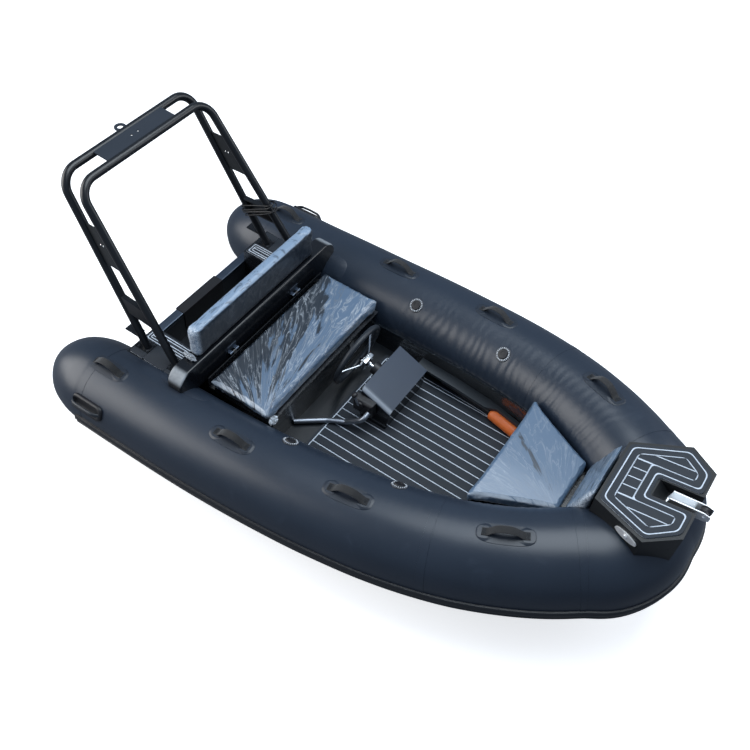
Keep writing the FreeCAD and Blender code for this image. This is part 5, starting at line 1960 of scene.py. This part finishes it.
# ---- arch ------------------------
@dataclass
class Arch:
    """Stern arch: pipes, plates, their bolts and the coiled cable."""

    panels: tuple[tuple[str, Finish], ...] = (
        ("arch_rear_pipe", ARCH), ("arch_front_pipe", ARCH), ("arch_top_plate", PLATE),
        ("arch_side_plates", SIDE_PLATE), ("arch_cross_bars", ARCH))
    rear: tuple[Triple, Triple] = ((-1.093, 0.455, 0.371), (-1.486, 0.402, 1.176))
    front: tuple[Triple, Triple] = ((-0.884, 0.468, 0.371), (-1.376, 0.402, 1.169))
    flange_x: Pair = (-0.034, 0.022)
    flange_y: float = 0.022
    bolt_height: float = 0.900
    plate_half: float = 0.0025
    coil_z: float = 0.545
    coil_gap: float = 0.0245
    coil_turns: int = 5
    coil_spread: float = 0.0085
    cable: float = 0.006
    band: float = 0.060

    def build(self) -> None:
        """Dresses the pipes and adds bolts and the cable."""
        dress_all(self.panels)
        self.foot_bolts()
        self.plate_bolts()
        self.coiled_cable()

    @staticmethod
    def on_leg(leg: tuple[Triple, Triple], z: float) -> Array:
        """Centre of a port leg, given by its foot and top, at a height."""
        a, b = np.array(leg)
        return a + (b - a) * (z - a[2]) / (b[2] - a[2])

    def plate_bolts(self) -> None:
        """A pair of button heads on each face of the side plates."""
        shell = Shell()
        a, b = (self.on_leg(leg, self.bolt_height) for leg in (self.rear, self.front))
        out = unit(np.cross(b - a, self.on_leg(self.rear, self.bolt_height + 0.05) - a))
        for f in (0.44, 0.56):
            for face in (out, -out):
                shell.lathe([(0.001, -0.001), (0.0045, -0.001), (0.0045, 0.0010),
                             (0.0030, 0.0026), (0.001, 0.0030)],
                            a + (b - a) * f + face * self.plate_half, face, 16)
        shell.mirrored().piece("plate_bolts", STEEL, smooth=40)

    def wound(self) -> Array:
        """The cable's line round both port legs.

        Each turn is a racetrack about the two leg centres; it climbs along the legs while
        its distance from them wanders between two layers.

        Returns:
            Points from the lower end to the upper.
        """
        a, b = (self.on_leg(leg, self.coil_z) for leg in (self.rear, self.front))
        along = unit(self.on_leg(self.rear, self.coil_z + 0.1) - a)
        b = b - along * ((b - a) @ along)
        run = unit(b - a)
        across = np.cross(along, run)
        t = np.linspace(0.0, self.coil_turns, 36 * self.coil_turns)
        turn = (t % 1.0) * 2 * math.pi
        r = self.coil_gap + self.coil_spread * (0.5 - 0.5 * np.cos(2 * math.pi * t * 0.43))
        climb = 0.5 - 0.5 * np.cos(math.pi * t / self.coil_turns)
        rise = self.cable + (self.band - 2 * self.cable) * climb
        rise = rise + 0.010 * np.sin(turn + 0.9 + 1.7 * t) + 0.004 * np.sin(2.3 * turn + t)
        stretch = (float(np.linalg.norm(b - a)) / 2
                   * np.tanh(2.6 * np.cos(turn)) / math.tanh(2.6))
        return ((a + b) / 2 + run * (stretch + r * np.cos(turn))[:, None]
                + across * (r * np.tanh(1.6 * np.sin(turn)) / math.tanh(1.6))[:, None]
                + along * rise[:, None])

    def coiled_cable(self) -> None:
        """Cable wound round both port legs: a round curve along its line."""
        p = self.wound()
        curve = bpy.data.curves.new("arch_cable", "CURVE")
        curve.dimensions, curve.bevel_depth, curve.bevel_resolution = "3D", self.cable / 2, 4
        curve.use_fill_caps = True
        spline = curve.splines.new("NURBS")
        spline.points.add(len(p) - 1)
        spline.points.foreach_set("co", np.column_stack([p, np.ones(len(p))]).ravel())
        spline.order_u, spline.use_endpoint_u, spline.resolution_u = 3, True, 2
        obj = linked("arch_cable", curve)
        settle(obj, CABLE, Body.BOAT, ["arch_cable_coil"])
        length = float(distances(p)[-1])
        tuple(p[0])

    def foot_bolts(self) -> None:
        """Hex heads on washers at the corners of the four foot flanges."""
        shell = Shell()
        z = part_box("deck_pads")[1][2] + 0.001
        for (x, y, _), _ in (self.rear, self.front):
            for dx, dy in product(self.flange_x, (-self.flange_y, self.flange_y)):
                at = (x + dx, y + dy, z)
                shell.lathe([(0.001, -0.001), (0.0075, -0.001), (0.0075, 0.0012),
                             (0.001, 0.0012)], at, Z_AXIS, 20)
                shell.lathe([(0.001, 0.001), (0.0052, 0.001), (0.0052, 0.0052),
                             (0.0044, 0.006), (0.001, 0.006)], at, Z_AXIS, 6)
        shell.mirrored().piece("foot_bolts", GRIP, smooth=25)


# ---- studio ------------------------
@dataclass
class Studio:
    """Camera, pale floor at the waterline and soft lights."""

    eye: Triple = (1.2307, -2.1524, 3.6291)
    right: Triple = (0.8223, 0.5672, 0.0465)
    down: Triple = (0.4691, -0.6293, -0.6197)
    ahead: Triple = (-0.3223, 0.5313, -0.7835)
    lens: float = 41.75
    film: float = 36.0
    floor_half: float = 9.0
    lights: tuple[tuple[str, Triple, Triple, float, float, Triple], ...] = (
        ("sky", (0.2, 0.8, 4.8), (0.0, 0.0, 0.2), 3.6, 205.0, (0.86, 0.94, 1.0)),
        ("key", (-4.4, -2.6, 2.4), (-0.4, -0.2, 0.3), 4.0, 230.0, (1.0, 0.98, 0.95)),
        ("edge", (2.8, 3.4, 2.6), (0.2, 0.2, 0.3), 2.4, 60.0, (0.95, 0.97, 1.0)))

    def build(self) -> None:
        """Sets the view, the floor and the lights."""
        data = bpy.data.cameras.new("view")
        data.sensor_width, data.lens = self.film, self.lens
        bpy.context.scene.camera = self.placed(
            "view", data, self.right, -np.array(self.down), -np.array(self.ahead), self.eye)
        self.floor()
        self.world()
        for light in self.lights:
            self.light(*light)
        bpy.context.scene.view_settings.view_transform = "Standard"

    @staticmethod
    def placed(name: str, data: bpy.types.ID, right: Sequence[float], up: Sequence[float],
               back: Sequence[float], at: Sequence[float]) -> Piece:
        """A new object with given axes.

        Args:
            name: its name.
            data: its camera or light.
            right: its x axis.
            up: its y axis.
            back: its z axis.
            at: its place.

        Returns:
            The object.
        """
        turn = np.eye(4)
        turn[:3] = np.stack([right, up, back, at], axis=1)
        obj = linked(name, data)
        obj.matrix_world = Matrix(turn.tolist())
        return obj

    def floor(self) -> None:
        """Wide pale floor: diffuse, and white to the camera apart from a soft shadow."""
        g = Graph(bpy.data.materials.new("studio floor"))
        dull = g.node("ShaderNodeBsdfDiffuse", inputs={"Color": (0.19, 0.20, 0.22)})
        plain = g.node("ShaderNodeBsdfDiffuse", inputs={"Color": (0.86, 0.87, 0.88)})
        glow = g.node("ShaderNodeEmission", inputs={"Color": (1.0, 1.0, 1.0), "Strength": 0.66})
        both = g.node("ShaderNodeAddShader", inputs={0: plain.outputs[0], 1: glow.outputs[0]})
        self.seen_apart(g, "ShaderNodeOutputMaterial", dull, both)
        n = self.floor_half
        mesh = bpy.data.meshes.new("studio_floor")
        corners = [(x, y, 0) for x, y in rectangle(-n, n, -n, n)]
        mesh.from_pydata(corners, [], [(0, 1, 2, 3)])
        mesh.materials.append(g.owner)
        linked("studio_floor", mesh)

    @staticmethod
    def seen_apart(g: Graph, output: str, others: bpy.types.Node, seen: bpy.types.Node) -> None:
        """Ends a tree with one shader for camera rays and another for the rest.

        Args:
            g: the tree.
            output: type name of its output node.
            others: shader for rays of light.
            seen: shader for camera rays.
        """
        rays = g.node("ShaderNodeLightPath")
        mix = g.node("ShaderNodeMixShader", inputs={
            0: rays.outputs["Is Camera Ray"], 1: others.outputs[0], 2: seen.outputs[0]})
        g.node(output, inputs={"Surface": mix.outputs[0]})

    def world(self) -> None:
        """Pale even surroundings, white to the camera."""
        g = Graph(bpy.data.worlds.new("studio"))
        bpy.context.scene.world = g.owner
        soft = g.node("ShaderNodeBackground", inputs={0: (0.60, 0.76, 1.0), 1: 0.35})
        white = g.node("ShaderNodeBackground", inputs={0: (1.0, 1.0, 1.0), 1: 1.0})
        self.seen_apart(g, "ShaderNodeOutputWorld", soft, white)

    def light(self, name: str, at: Triple, to: Triple, size: float, power: float,
              colour: Triple) -> None:
        """One square area light aimed at a point.

        Args:
            name: its name.
            at: its place.
            to: the point it faces.
            size: its side, in metres.
            power: its power, in watts.
            colour: its colour.
        """
        data = bpy.data.lights.new(name, "AREA")
        data.size, data.energy, data.color = size, power, colour
        back = unit(np.array(at) - np.array(to))
        side = unit(np.cross(Z_AXIS if abs(back[2]) < 0.95 else X_AXIS, back))
        self.placed(name, data, side, np.cross(back, side), back, at)


def main() -> None:
    """Builds every sub-assembly in order."""
    logging.basicConfig(level=logging.INFO, format="%(name)s %(message)s")
    line = TubeLine()
    for part in (Studio(), Arch(), AirTubes(line), TubeFittings(line), Decks(), Hull(),
                 Seats(), Helm(), Bow(), Paddle()):
        LOG.info("building %s", type(part).__name__)
        part.build()


if __name__ == "__main__":
    main()
